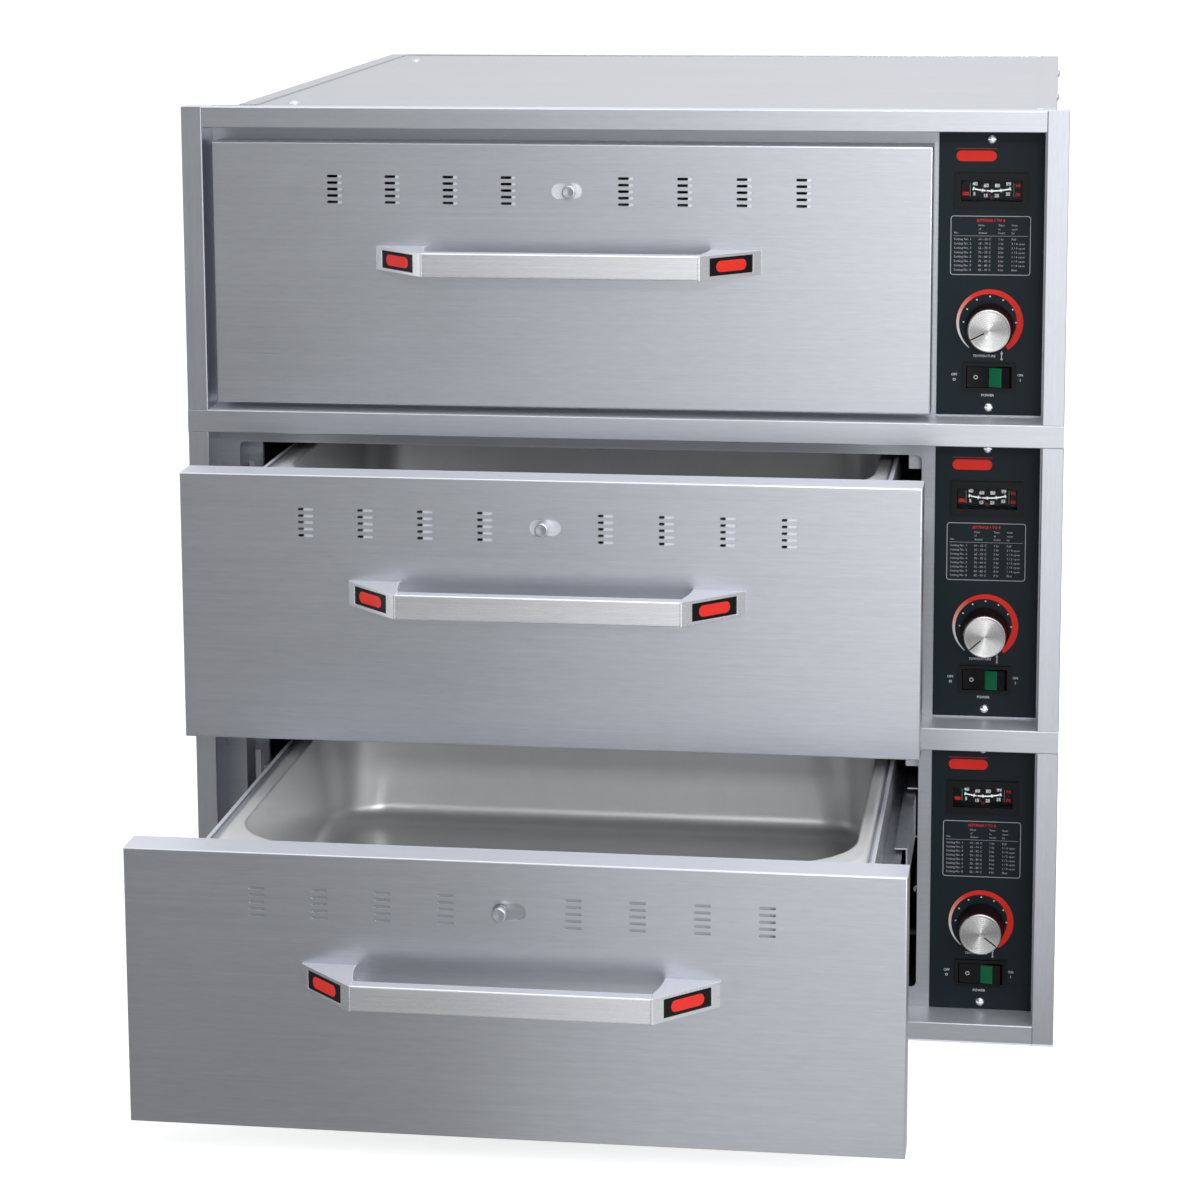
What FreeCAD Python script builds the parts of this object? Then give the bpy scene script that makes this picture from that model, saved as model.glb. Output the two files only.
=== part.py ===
import FreeCAD, Part
import math
import os

# A built-in three-drawer food warmer, in millimetres.
# Sizes are measured from the lower left corner of the trim frame's front: x right, y to the back, z up.
# place() then puts the origin under the base, midway across the trim and midway along the casing.
# Bay 0 is the upper drawer. Each bay repeats the one above it, one bay_pitch lower.

Vector = FreeCAD.Vector

# Trim frame
trim_width = 762.0
trim_height = 816.0
trim_depth = 18.0
trim_wall = 1.2
trim_edge_radius = 1.0
cap_gap = 1.0               # slot behind each end cap of a rail or stile
stile_width = 18.5
top_rail_height = 18.0
mid_rail_height = 19.8
mid_rail_rise = 0.7         # a bay's end to the top of the mid rail there
bottom_rail_height = 17.8
recess = 40.0               # trim front to face plate

# Control panels, one beside each drawer
bay_count = 3
stack_margin = 15.9         # the part of the trim's height that the bays leave over
panel_width = 89.4
panel_spacing = 22.7        # each panel to the next
panel_drop = 20.2           # trim top to the top of the first panel
panel_wall = 1.5
panel_edge_gap = 1.5        # right stile to the panel
panel_side_gap = 3.8        # panel to the drawer front
panel_opening_side = 8.0    # the panel laps the face plate by this much at each side
panel_opening_end = 19.0    # and by this much at its top and bottom
panel_screw_inset = 6.8

# Drawer fronts
front_side_gap = 7.0        # left stile to the drawer front
front_spacing = 37.9        # each drawer front to the next
front_drop = 30.7           # trim top to the top of the first drawer front
front_depth = 33.8
front_wall = 1.2
front_edge_radius = 1.6
front_gap = 0.7             # closed drawer front to face plate
backing_wall = 1.0
backing_depth = 10.0
window_width = 34.0         # openings behind the vents
window_height = 30.0

# Mouths in the face plate, which the drawer fronts lap
mouth_lap_left = 11.0
mouth_lap_right = 8.0
mouth_spacing = 53.7        # each mouth to the next
mouth_drop = 34.0           # trim top to the top of the first mouth
mouth_corner_radius = 5.0

# Casing
sheet = 1.2
face_plate_wall = 1.5
casing_left = 48.0
casing_right_inset = 12.0   # trim's right edge to the casing
casing_back = 700.0
side_flange = 15.5
front_flange = 13.0
joggle_gap = 0.3            # the left side steps out near the front, this far clear of the mouths
joggle_depth = 33.0
joggle_drop = 21.0          # trim top to the top of the step
base_lip = 20.0
top_lip = 17.0
seam_gap = 0.2

# Liners and insulation
liner_wall = 1.2
liner_side_gap = 0.1        # liner to the casing's left side
liner_right_margin = 2.7    # mouth's right edge to the liner
liner_margin = 2.0          # liner stands back from the mouth, above and below
liner_back = 580.0
divider_gap = 3.3           # liner to divider
blanket_thickness = 26.0
blanket_margin = 14.0

# Where the drawers stand in the rest pose, from closed
drawer_opening = (0.0, 135.0, 335.0)

# Drawer frames and pans
slide_space = 24.0          # liner to drawer frame, at each side
frame_wall = 1.5
frame_depth = 463.5
frame_height = 68.0
frame_drop = 12.0           # drawer front's top to the frame's rim
rim_width = 3.5
front_deck = 26.0           # the rim is this wide at the front
ledge_wall = 1.2
ledge_lap = 10.0            # how far the pan's flange lies on the ledge
pan_drop = 3.0              # frame's rim to the pan's flange
pan_gap = 2.0               # pan's flange to the rim
pan_depth = 96.0
pan_wall = 1.0
pan_flange = 12.5
pan_corner_radius = 75.0     # at the flange
pan_foot_radius = 42.0       # and at the floor
pan_flange_radius = 15.0
pan_floor_radius = 30.0
pan_draft = 8.0             # how far each wall leans in over its height

# Slides: a fixed channel, a middle channel at half speed, and a drawer channel, with a ball gap between them
slide_length = 457.0
slide_front_gap = 6.0       # face plate to the fixed channel
slide_height = 45.0
slide_wall = 1.5
ball_gap = 3.0
fixed_lip = 12.5
middle_lip = 11.0
slide_drop = 36.0           # drawer front's top to the top of the fixed channel
drawer_channel_gap = 9.0    # drawer front to the drawer channel
drawer_channel_length = 440.0
hanger_wall = 1.5
hanger_setback = 6.0        # fixed channel's front end to its hanger
left_hanger_inset = 4.5     # mouth's left edge to the left hanger
left_hanger_width = 5.5
left_hanger_rise = 13.0     # above the fixed channel
right_hanger_width = 14.5
right_hanger_height = 16.0
right_hanger_drop = 18.0    # drawer front's top to the underside of the right hanger

# Vents
vent_groups = 4             # on each side of the thumb screw
vent_pitch = 50.8
vent_rows = 5
vent_row_pitch = 5.6
vent_length = 13.2
vent_height = 2.5
vent_drop = 40.3            # drawer front's top to the middle row
vent_opening = (0.7, 0.35, 0.0)
slider_wall = 1.0
slider_gap = 0.3            # drawer front to slider
slider_margin = 9.0
guide_wall = 0.8
guide_lap = 4.0
guide_clearance = 0.2
boss_radius = 5.6
boss_clearance = 1.1
thumb_radius = 5.9
thumb_length = 9.0
thumb_neck = 2.0
thumb_chamfer = 0.8
nut_height = 2.5

# Handles
handle_width = 334.3
handle_drop = 89.0          # drawer front's top to the handle's top
handle_height = 20.8
handle_reach = 50.0
bar_thickness = 13.0
bar_radius = 1.5
bracket_length = 49.3
bracket_foot = 44.0
bracket_lip = 2.5
bracket_nose = 1.5          # the flat in front, between the slope and the bar
bracket_bulge = 1.3
badge_length = 47.0
badge_height = 15.2
badge_depth = 1.0
badge_inset = 9.0           # outer tip to the badge's near end, along the slope

# Gauge
gauge_drop = 70.8           # trim top to the gauge's middle
gauge_width = 61.5
gauge_height = 30.2
gauge_rim = 2.2
gauge_window_width = 51.8
gauge_window_height = 18.2
gauge_body_depth = 26.0
gauge_wall = 1.2
gauge_face_depth = 8.0      # panel's front to the scale
gauge_clearance = 0.3
pivot_drop = 6.5            # gauge's middle to the needle's pivot
pivot_radius = 0.6
pivot_clearance = 0.05
needle_length = 13.5
needle_width = 0.8
needle_wall = 0.5
needle_gap = 1.5            # scale to hub
needle_sweep = 76.0
hub_radius = 1.6
hub_height = 1.5

# Thermostat and its knob
dial_rise = 76.2            # panel's bottom to the shaft
dial_gap = 1.0
knob_radius = 18.4
knob_skirt_radius = 20.6
knob_skirt_depth = 4.0
knob_depth = 23.0
knob_edge_radius = 1.2
knob_angles = (207.0, 222.0, 323.0)
groove_width = 1.6
groove_depth = 0.7
groove_start = 6.0
shaft_radius = 3.0
shaft_clearance = 0.06
shaft_grip = 14.0           # how far the shaft runs into the knob
shaft_reach = 16.0          # panel's front to the shaft's inner end
socket_gap = 1.0            # shaft's inner end to the socket's end
thermostat_radius = 22.0
thermostat_depth = 30.0
thermostat_gap = 7.0        # panel's front to the thermostat's body
bushing_radius = 5.0
bushing_clearance = 0.2
bushing_stand = 0.5         # how far the bushing stands out of the panel
bulb_radius = 3.5
bulb_length = 95.0
bulb_gap = 3.0              # liner to bulb
clip_width = 5.0
clip_wall = 1.0
capillary_radius = 1.2
capillary_run = 47.0        # thermostat's back to the divider hole
capillary_bend = 8.0
capillary_tail = 16.0       # divider hole to the bulb

# Power rocker
rocker_rise = 33.0          # panel's bottom to the rocker's middle
rocker_bezel_width = 45.0
rocker_bezel_height = 24.6
rocker_rim = 2.0
rocker_width = 36.4
rocker_height = 17.6
rocker_valley = 1.6         # how far its middle lies behind its ends
rocker_thickness = 8.0
rocker_body_depth = 24.0
rocker_well = 13.0
rocker_end_gap = 1.2
rocker_side_gap = 0.5
rocker_wall = 1.5
rocker_swing = 7.0          # each way from level
rocker_pivot = 1.5          # panel's front to the pivot
pin_radius = 1.2
pin_clearance = 0.05
pin_reach = 1.0             # how far each hole runs into the case's wall
pin_end_gap = 0.2

# Heating elements
element_radius = 4.0
element_runs = 4
element_pitch = 84.0
element_side_gap = 76.5     # liner to the bends, at each side
element_front_gap = 61.0    # face plate to the first run
element_lift = 32.0         # liner floor to the element's middle
element_tail = 16.0         # past the divider
element_flange_radius = 9.0
element_flange_wall = 3.0
support_inset = 90.0        # bends to the supports
support_wall = 1.5
support_reach = 8.0         # past the first and last runs
tube_clearance = 0.6

# Screws and cable entry
screw_head_radius = 4.3
screw_head_height = 2.4
screw_slot_width = 1.0
screw_slot_depth = 0.9
screw_radius = 2.0
screw_length = 7.0
screw_clearance = 0.15
top_screw_inset = 44.0      # casing's left side to the top screws
top_screw_front = 22.0
top_screw_back = 95.0
side_screw_edge = 13.0
side_screw_front = 75.0
side_screw_middle = 335.0
side_screw_back = 50.0      # from the casing's back
back_screw_inset = 8.0
back_screw_rows = 3
gland_height = 70.0
gland_radius = 14.0
gland_length = 16.0
gland_bore = 6.0
gland_thread_radius = 10.0
gland_thread_length = 14.0
gland_nut = 5.0
gland_clearance = 0.2
back_vent_rows = 6
back_vent_pitch = 18.0
back_vent_width = 50.0
back_vent_height = 4.0
back_vent_drop = 116.0      # trim top to the first slot in the back

# Worked out from the sizes above
cap_back = trim_depth - trim_wall - cap_gap
bay_pitch = (trim_height - stack_margin) / bay_count
panel_height = bay_pitch - panel_spacing
front_height = bay_pitch - front_spacing
mouth_height = bay_pitch - mouth_spacing
face_y = recess
liner_y = recess + face_plate_wall
panel_front = recess - panel_wall
panel_left = trim_width - stile_width - panel_edge_gap - panel_width
panel_middle = panel_left + panel_width / 2
panel_top = trim_height - panel_drop
panel_floor = panel_top - panel_height
front_left = stile_width + front_side_gap
front_right = panel_left - panel_side_gap
front_middle = (front_left + front_right) / 2
front_top = trim_height - front_drop
closed_y = recess - front_gap - front_depth
front_back = closed_y + front_depth
mouth_left = front_left + mouth_lap_left
mouth_right = front_right - mouth_lap_right
casing_right = trim_width - casing_right_inset
joggle_left = mouth_left - joggle_gap - sheet
joggle_back = liner_y + joggle_depth
joggle_top = trim_height - joggle_drop
liner_left = casing_left + sheet + liner_side_gap + liner_wall
liner_right = mouth_right + liner_right_margin
liner_middle = (liner_left + liner_right) / 2
divider_x = liner_right + liner_wall + divider_gap
frame_left = liner_left + slide_space
frame_right = liner_right - slide_space
rim_top = front_top - frame_drop
slide_front = liner_y + slide_front_gap
slide_top = front_top - slide_drop
slide_middle = slide_top - slide_height / 2
slide_step = slide_wall + ball_gap
wiring_middle = (divider_x + casing_right) / 2
capillary_y = panel_front + thermostat_gap + thermostat_depth + capillary_run
origin = Vector(trim_width / 2, casing_back / 2, 0)
cut = 1.0                   # how far each cutting block runs past what it cuts
hair = 0.001                # the tolerance for finding an edge by its place

def box(x0, x1, y0, y1, z0, z1):
    return Part.makeBox(x1 - x0, y1 - y0, z1 - z0, Vector(x0, y0, z0))


def rod(radius, start, end):
    axis = end - start
    return Part.makeCylinder(radius, axis.Length, start, axis)


def moved(shape, x=0.0, y=0.0, z=0.0):
    copy = shape.copy()
    copy.translate(Vector(x, y, z))
    return copy


def mirrored_x(shape, x):
    return shape.mirror(Vector(x, 0, 0), Vector(1, 0, 0))


def joined(pieces):
    return pieces[0].fuse(pieces[1:]).removeSplitter()


def grouped(pieces):
    return Part.makeCompound(pieces)


def polygon_prism(points, direction):
    """A straight prism on a closed outline."""
    wire = Part.makePolygon(points + points[:1])
    return Part.Face(wire).extrude(direction)


def rounded_frame(x0, x1, z0, z1, radius, y0, y1):
    """A prism along y on a rectangle with round corners."""
    block = box(x0, x1, y0, y1, z0, z1)
    edges = [edge for edge in block.Edges if abs(edge.Vertexes[0].Y - edge.Vertexes[-1].Y) > (y1 - y0) / 2]
    return block.makeFillet(radius, edges)


def rounded_plate(x0, x1, y0, y1, radius, z0, z1):
    """A prism along z on a rectangle with round corners."""
    block = box(x0, x1, y0, y1, z0, z1)
    edges = [edge for edge in block.Edges if abs(edge.Vertexes[0].Z - edge.Vertexes[-1].Z) > (z1 - z0) / 2]
    return block.makeFillet(radius, edges)


def rounded_front(block, radius, length):
    """The block with its foremost edges of that length rounded."""
    front = block.BoundBox.YMin
    edges = [edge for edge in block.Edges
             if abs(edge.BoundBox.YMax - front) < hair and abs(edge.Length - length) < hair]
    return block.makeFillet(radius, edges)


def slot_prism(x, z, length, height, y0, y1):
    """A prism along y on a slot with round ends, centred on x and z."""
    half = (length - height) / 2
    r = height / 2
    corners = [Vector(x - half, y0, z - r), Vector(x + half, y0, z - r),
               Vector(x + half, y0, z + r), Vector(x - half, y0, z + r)]
    right = Part.Arc(corners[1], Vector(x + half + r, y0, z), corners[2]).toShape()
    left = Part.Arc(corners[3], Vector(x - half - r, y0, z), corners[0]).toShape()
    edges = [Part.makeLine(corners[0], corners[1]), right, Part.makeLine(corners[2], corners[3]), left]
    return Part.Face(Part.Wire(edges)).extrude(Vector(0, y1 - y0, 0))


def place(shape):
    """Moves a finished shape so that the origin is where the part's frame has it."""
    return moved(shape, -origin.x, -origin.y, -origin.z)


def bay_z(bay):
    return -bay * bay_pitch


# Trim

def rail(x0, x1, z0, z1, returns):
    """A closed rail with a rounded front. Each z in returns has a strip that runs back to the face plate."""
    outer = rounded_front(box(x0, x1, 0, trim_depth, z0, z1), trim_edge_radius, x1 - x0)
    low, high = z0 + trim_wall, z1 - trim_wall
    hollow = box(x0, x1, trim_wall, trim_depth - trim_wall, low, high)
    caps = [box(x, x + trim_wall, trim_wall, cap_back, low, high) for x in (x0, x1 - trim_wall)]
    strips = [box(stile_width, trim_width - stile_width, trim_depth, recess, z, z + trim_wall)
              for z in returns]
    return joined([outer.cut(hollow.cut(caps))] + strips)


def stile(x0, z0, z1, strip_x):
    """A closed stile with a rounded front and one strip that runs back to the face plate."""
    outer = rounded_front(box(x0, x0 + stile_width, 0, trim_depth, z0, z1), trim_edge_radius, z1 - z0)
    left, right = x0 + trim_wall, x0 + stile_width - trim_wall
    hollow = box(left, right, trim_wall, trim_depth - trim_wall, z0, z1)
    caps = [box(left, right, trim_wall, cap_back, z, z + trim_wall) for z in (z0, z1 - trim_wall)]
    low = max(z0, bottom_rail_height)
    high = min(z1, trim_height - top_rail_height)
    strip = box(strip_x, strip_x + trim_wall, trim_depth, recess, low, high)
    return joined([outer.cut(hollow.cut(caps)), strip])


def rail_spans():
    """The z of each rail's underside and top, from the top rail down."""
    spans = [(trim_height - top_rail_height, trim_height)]
    for bay in range(bay_count - 1):
        top = trim_height + mid_rail_rise + bay_z(bay + 1)
        spans.append((top - mid_rail_height, top))
    spans.append((0.0, bottom_rail_height))
    return spans


def trim_rails():
    spans = rail_spans()
    inner = (stile_width, trim_width - stile_width)
    pieces = [rail(*inner, *spans[0], [spans[0][0]])]
    for low, high in spans[1:-1]:
        pieces.append(rail(0, trim_width, low, high, [low, high - trim_wall]))
    pieces.append(rail(*inner, *spans[-1], [bottom_rail_height - trim_wall]))
    return grouped(pieces)


def trim_stiles():
    mids = rail_spans()[1:-1]
    tops = [trim_height] + [low for low, high in mids]
    floors = [high for low, high in mids] + [0.0]
    pieces = []
    for low, high in zip(floors, tops):
        pieces.append(stile(0, low, high, stile_width - trim_wall))
        pieces.append(stile(trim_width - stile_width, low, high, trim_width - stile_width))
    return grouped(pieces)


# Screws

def screw(head_at, inward):
    """A pan-head screw: its head sits on the surface at head_at, and its shank runs along inward."""
    radius, height = screw_head_radius, screw_head_height
    bulge = Vector(radius, 0, height) * math.sqrt(0.5)
    profile = [Part.makeLine(Vector(0, 0, 0), Vector(radius, 0, 0)),
               Part.Arc(Vector(radius, 0, 0), bulge, Vector(0, 0, height)).toShape(),
               Part.makeLine(Vector(0, 0, height), Vector(0, 0, 0))]
    head = Part.Face(Part.Wire(profile)).revolve(Vector(0, 0, 0), Vector(0, 0, 1), 360)
    half = screw_slot_width / 2
    slot = box(-radius, radius, -half, half, height - screw_slot_depth, height + cut)
    shank = Part.makeCylinder(screw_radius, screw_length, Vector(0, 0, -screw_length))
    body = joined([head.cut(slot), shank])
    body.Placement = FreeCAD.Placement(head_at, FreeCAD.Rotation(Vector(0, 0, -1), inward))
    return body


def screw_hole(head_at, inward):
    reach = inward * screw_length
    return rod(screw_radius + screw_clearance, head_at - reach, head_at + reach)


def panel_screw_places():
    places = []
    for bay in range(bay_count):
        for z in (panel_top - panel_screw_inset, panel_floor + panel_screw_inset):
            places.append(Vector(panel_middle, panel_front, z + bay_z(bay)))
    return places


def top_screw_places():
    ends = (trim_depth + top_screw_front, casing_back - top_screw_back)
    return [Vector(casing_left + top_screw_inset, y, trim_height) for y in ends]


def side_screw_places(x, rows):
    heights = (trim_height - side_screw_edge, side_screw_edge)
    return [Vector(x, y, z) for y in rows for z in heights]


def right_screw_places():
    rows = (side_screw_front, side_screw_middle, casing_back - side_screw_back)
    return side_screw_places(casing_right, rows)


def left_screw_places():
    return side_screw_places(casing_left, (side_screw_middle, casing_back - side_screw_back))


def back_screw_places():
    columns = (casing_left + back_screw_inset, casing_right - back_screw_inset)
    spacing = trim_height / back_screw_rows
    return [Vector(x, casing_back, (row + 0.5) * spacing) for x in columns for row in range(back_screw_rows)]


screw_sets = ((panel_screw_places, Vector(0, 1, 0)), (top_screw_places, Vector(0, 0, -1)),
              (right_screw_places, Vector(-1, 0, 0)), (left_screw_places, Vector(1, 0, 0)),
              (back_screw_places, Vector(0, -1, 0)))


def screws():
    return grouped([screw(place_at, inward) for places, inward in screw_sets for place_at in places()])


def drilled(shape):
    """The shape with every screw's hole that passes through it."""
    holes = []
    for places, inward in screw_sets:
        for place_at in places():
            hole = screw_hole(place_at, inward)
            if shape.BoundBox.intersect(hole.BoundBox):
                holes.append(hole)
    return shape.cut(holes) if holes else shape


# Casing

def mouth_top(bay):
    return trim_height - mouth_drop + bay_z(bay)


def mouth_floor(bay):
    return mouth_top(bay) - mouth_height


def liner_floor(bay):
    return mouth_floor(bay) - liner_margin


def liner_top(bay):
    return mouth_top(bay) + liner_margin


def panel_opening():
    """The left, right, bottom and top of the face plate's opening behind the first control panel."""
    return (panel_left + panel_opening_side, panel_left + panel_width - panel_opening_side,
            panel_floor + panel_opening_end, panel_top - panel_opening_end)


def face_plate():
    x0 = stile_width - trim_wall
    edge = sheet + seam_gap
    plate = box(x0, trim_width - x0, face_y, liner_y, edge, trim_height - edge)
    left, right, low, high = panel_opening()
    window = box(left, right, face_y - cut, liner_y + cut, low, high)
    openings = []
    for bay in range(bay_count):
        openings.append(rounded_frame(mouth_left, mouth_right, mouth_floor(bay), mouth_top(bay),
                                      mouth_corner_radius, face_y - cut, liner_y + cut))
        openings.append(moved(window, z=bay_z(bay)))
    return drilled(plate.cut(openings))


def side_lips(y1, z0, z1):
    """Two lips that lie inside the casing's sides."""
    x0 = casing_left + sheet + seam_gap
    x1 = casing_right - sheet - seam_gap
    y0 = joggle_back + sheet
    return [box(x0, x0 + sheet, y0, y1, z0, z1), box(x1 - sheet, x1, y0, y1, z0, z1)]


def cabinet_base():
    plate = box(casing_left, casing_right, liner_y, casing_back, 0, sheet)
    step = box(joggle_left, casing_left, liner_y, joggle_back, 0, sheet)
    lips = side_lips(casing_back - 2 * sheet - seam_gap, sheet, base_lip)
    return drilled(joined([plate, step] + lips))


def cabinet_top():
    inset = sheet + seam_gap
    plate = box(casing_left + inset, casing_right - inset, trim_depth, casing_back - sheet,
                trim_height - sheet, trim_height)
    lips = side_lips(casing_back - 2 * sheet - seam_gap, trim_height - top_lip, trim_height - sheet)
    return drilled(joined([plate] + lips))


def cabinet_left_side():
    """The left side, which steps out near the front to clear the mouths."""
    x, back, top = casing_left, casing_back - sheet, trim_height + sheet
    step_y = joggle_back
    flange_top = trim_height - top_lip - seam_gap
    pieces = [box(x, x + sheet, step_y - sheet, back, sheet, top),
              box(x, x + sheet, liner_y, step_y, joggle_top, top),
              box(joggle_left, joggle_left + sheet, liner_y, step_y, sheet, joggle_top),
              box(joggle_left, x + sheet, step_y - sheet, step_y, sheet, joggle_top),
              box(joggle_left, x + sheet, liner_y, step_y, joggle_top, joggle_top + sheet),
              box(joggle_left - front_flange, joggle_left, liner_y, liner_y + sheet, sheet, joggle_top),
              box(x, x + front_flange, back - sheet, back, base_lip + seam_gap, flange_top),
              box(x, x + side_flange, trim_depth, back, trim_height, top)]
    return drilled(joined(pieces))


def cabinet_right_side():
    x, back, top = casing_right, casing_back - sheet, trim_height + sheet
    low, high = base_lip + seam_gap, trim_height - top_lip - seam_gap
    pieces = [box(x - sheet, x, trim_depth, back, sheet, top),
              box(x - front_flange, x, liner_y, liner_y + sheet, low, high),
              box(x - front_flange, x, back - sheet, back, low, high),
              box(x - side_flange, x, trim_depth, back, trim_height, top)]
    return drilled(joined(pieces))


def cabinet_back():
    plate = box(casing_left, casing_right, casing_back - sheet, casing_back, sheet, trim_height + sheet)
    y0, y1 = casing_back - sheet - cut, casing_back + cut
    openings = [rod(gland_thread_radius + gland_clearance,
                    Vector(wiring_middle, y0, gland_height), Vector(wiring_middle, y1, gland_height))]
    for row in range(back_vent_rows):
        z = trim_height - back_vent_drop - row * back_vent_pitch
        openings.append(slot_prism(wiring_middle, z, back_vent_width, back_vent_height, y0, y1))
    return drilled(plate.cut(openings))


def wall_holes():
    """Where the heating elements and the capillaries pass through the liner and the divider."""
    x0, x1 = liner_right - cut, divider_x + sheet + cut
    holes = []
    for bay in range(bay_count):
        for run in (0, element_runs - 1):
            y, z = element_y(run), element_z(bay)
            holes.append(rod(element_radius + tube_clearance, Vector(x0, y, z), Vector(x1, y, z)))
        y, z = capillary_y, dial_z(bay)
        holes.append(rod(capillary_radius + tube_clearance, Vector(x0, y, z), Vector(x1, y, z)))
    return holes


def divider_wall():
    """The wall between the liners and the wiring, with a lip behind the face plate."""
    high = trim_height - sheet - seam_gap
    wall = box(divider_x, divider_x + sheet, liner_y, casing_back - sheet, sheet, high)
    lip = box(divider_x, panel_opening()[0] - seam_gap, liner_y, liner_y + sheet, sheet, high)
    return joined([wall, lip]).cut(wall_holes())


def cavity_liner(bay):
    """A five-sided box behind one mouth, open to the front and to the step in the casing's side."""
    low, high, t = liner_floor(bay), liner_top(bay), liner_wall
    outer = box(liner_left - t, liner_right + t, liner_y, liner_back + t, low - t, high + t)
    inner = box(liner_left, liner_right, liner_y - cut, liner_back, low, high)
    pocket = box(liner_left - t - cut, liner_left + cut, liner_y - cut, joggle_back - sheet, low, high)
    return outer.cut([inner, pocket] + wall_holes())


def insulation():
    """A blanket on each liner, one under the lowest liner and one behind them all."""
    x0, x1 = liner_left + blanket_margin, liner_right - blanket_margin
    y0, y1 = liner_y + blanket_margin, liner_back - blanket_margin
    lows = [liner_top(bay) + liner_wall for bay in range(bay_count)]
    pieces = [box(x0, x1, y0, y1, low, low + blanket_thickness) for low in lows]
    pieces.append(box(x0, x1, y0, y1, sheet, liner_floor(bay_count - 1) - liner_wall))
    back = liner_back + liner_wall
    pieces.append(box(x0, x1, back, back + blanket_thickness, sheet, liner_top(0)))
    return grouped(pieces)


def cable_gland():
    """A gland through the back, and the nut inside that holds it."""
    at = Vector(wiring_middle, casing_back, gland_height)
    inner = at - Vector(0, gland_thread_length, 0)
    outer = at + Vector(0, gland_length, 0)
    past = Vector(0, cut, 0)
    body = joined([rod(gland_thread_radius, inner, at), rod(gland_radius, at, outer)])
    body = body.cut(rod(gland_bore, inner - past, outer + past))
    nut_back = at - Vector(0, sheet, 0)
    nut_front = nut_back - Vector(0, gland_nut, 0)
    nut = rod(gland_radius, nut_front, nut_back)
    return grouped([body, nut.cut(rod(gland_thread_radius, nut_front - past, nut_back + past))])


# Slides

def channel(x_wall, x_lip, half_height, y0, length):
    """A C channel along y: its wall starts at x_wall and its lips reach to x_lip."""
    side = 1 if x_lip > x_wall else -1
    t = slide_wall
    low, high = slide_middle - half_height, slide_middle + half_height
    spans = [sorted((x_wall, x_wall + side * t)), sorted((x_wall, x_lip))]
    wall = box(*spans[0], y0, y0 + length, low, high)
    lips = [box(*spans[1], y0, y0 + length, low, low + t), box(*spans[1], y0, y0 + length, high - t, high)]
    return joined([wall] + lips)


def both_sides(right):
    return grouped([right, mirrored_x(right, liner_middle)])


def fixed_slides():
    """The fixed channels of all three bays, each with a hanger at its front end."""
    right = channel(liner_right, liner_right - fixed_lip, slide_height / 2, slide_front, slide_length)
    left = mirrored_x(right, liner_middle)
    y0 = slide_front + hanger_setback
    y1 = y0 + hanger_wall
    hook_floor = front_top - right_hanger_drop
    hook_top = hook_floor + right_hanger_height
    hook = box(liner_right - right_hanger_width, liner_right, y0, y1, hook_floor, hook_top)
    stem = box(liner_right - hanger_wall, liner_right, y0, y0 + right_hanger_width,
               slide_top - hanger_wall, hook_top)
    x0 = mouth_left + left_hanger_inset
    slide_floor = slide_top - slide_height
    tab = box(x0, x0 + left_hanger_width, y0, y1, slide_floor, slide_top + left_hanger_rise)
    arm = box(x0, liner_left + hanger_wall, y0, y1, slide_floor, slide_middle)
    pieces = []
    for bay in range(bay_count):
        for piece in (joined([right, hook, stem]), joined([left, tab, arm])):
            pieces.append(moved(piece, z=bay_z(bay)))
    return grouped(pieces)


def middle_slides(bay):
    wall_x = liner_right - slide_step
    right = channel(wall_x, wall_x - middle_lip, slide_height / 2 - slide_step, slide_front, slide_length)
    return moved(both_sides(right), y=-drawer_opening[bay] / 2, z=bay_z(bay))


def drawer_slides(bay):
    right = channel(frame_right, liner_right - 2 * slide_step, slide_height / 2 - 2 * slide_step,
                    front_back + drawer_channel_gap, drawer_channel_length)
    return with_drawer(both_sides(right), bay)


# Drawers

def with_drawer(shape, bay):
    """Moves a piece of the closed top drawer to where it stands in its own bay."""
    return moved(shape, y=-drawer_opening[bay], z=bay_z(bay))


def vent_x():
    """The middle of each group of vents, from left to right."""
    return [front_middle + side * step * vent_pitch
            for side in (-1, 1) for step in range(1, vent_groups + 1)]


def vent_z():
    """The middle of each row of vents in the first drawer front."""
    middle = front_top - vent_drop
    return [middle + (row - (vent_rows - 1) / 2) * vent_row_pitch for row in range(vent_rows)]


def vent_slots(y0, y1):
    return [slot_prism(x, z, vent_length, vent_height, y0, y1) for x in vent_x() for z in vent_z()]


def vent_windows(y0, y1):
    """Openings behind each group of vents and behind the thumb screw."""
    z0, z1 = front_top - vent_drop - window_height / 2, front_top - vent_drop + window_height / 2
    half = window_width / 2
    return [box(x - half, x + half, y0, y1, z0, z1) for x in vent_x() + [front_middle]]


def slider_size():
    """Half the width and half the height of a vent slider."""
    return (vent_groups * vent_pitch + vent_length / 2 + slider_margin,
            vent_z()[-1] - front_top + vent_drop + vent_height / 2 + slider_margin)


def slider_guides():
    """Two strips inside the drawer front that the slider runs in."""
    half, rise = slider_size()
    x0, x1 = front_middle - half, front_middle + half
    middle = front_top - vent_drop
    plate_y = closed_y + front_wall
    lip_y = plate_y + slider_gap + slider_wall + guide_clearance
    strips = []
    for side in (-1, 1):
        edge = middle + side * (rise + guide_clearance)
        foot = sorted((edge, edge + side * guide_wall))
        lip = sorted((edge - side * guide_lap, edge + side * guide_wall))
        strips.append(box(x0, x1, plate_y, lip_y, *foot))
        strips.append(box(x0, x1, lip_y, lip_y + guide_wall, *lip))
    return strips


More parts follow.
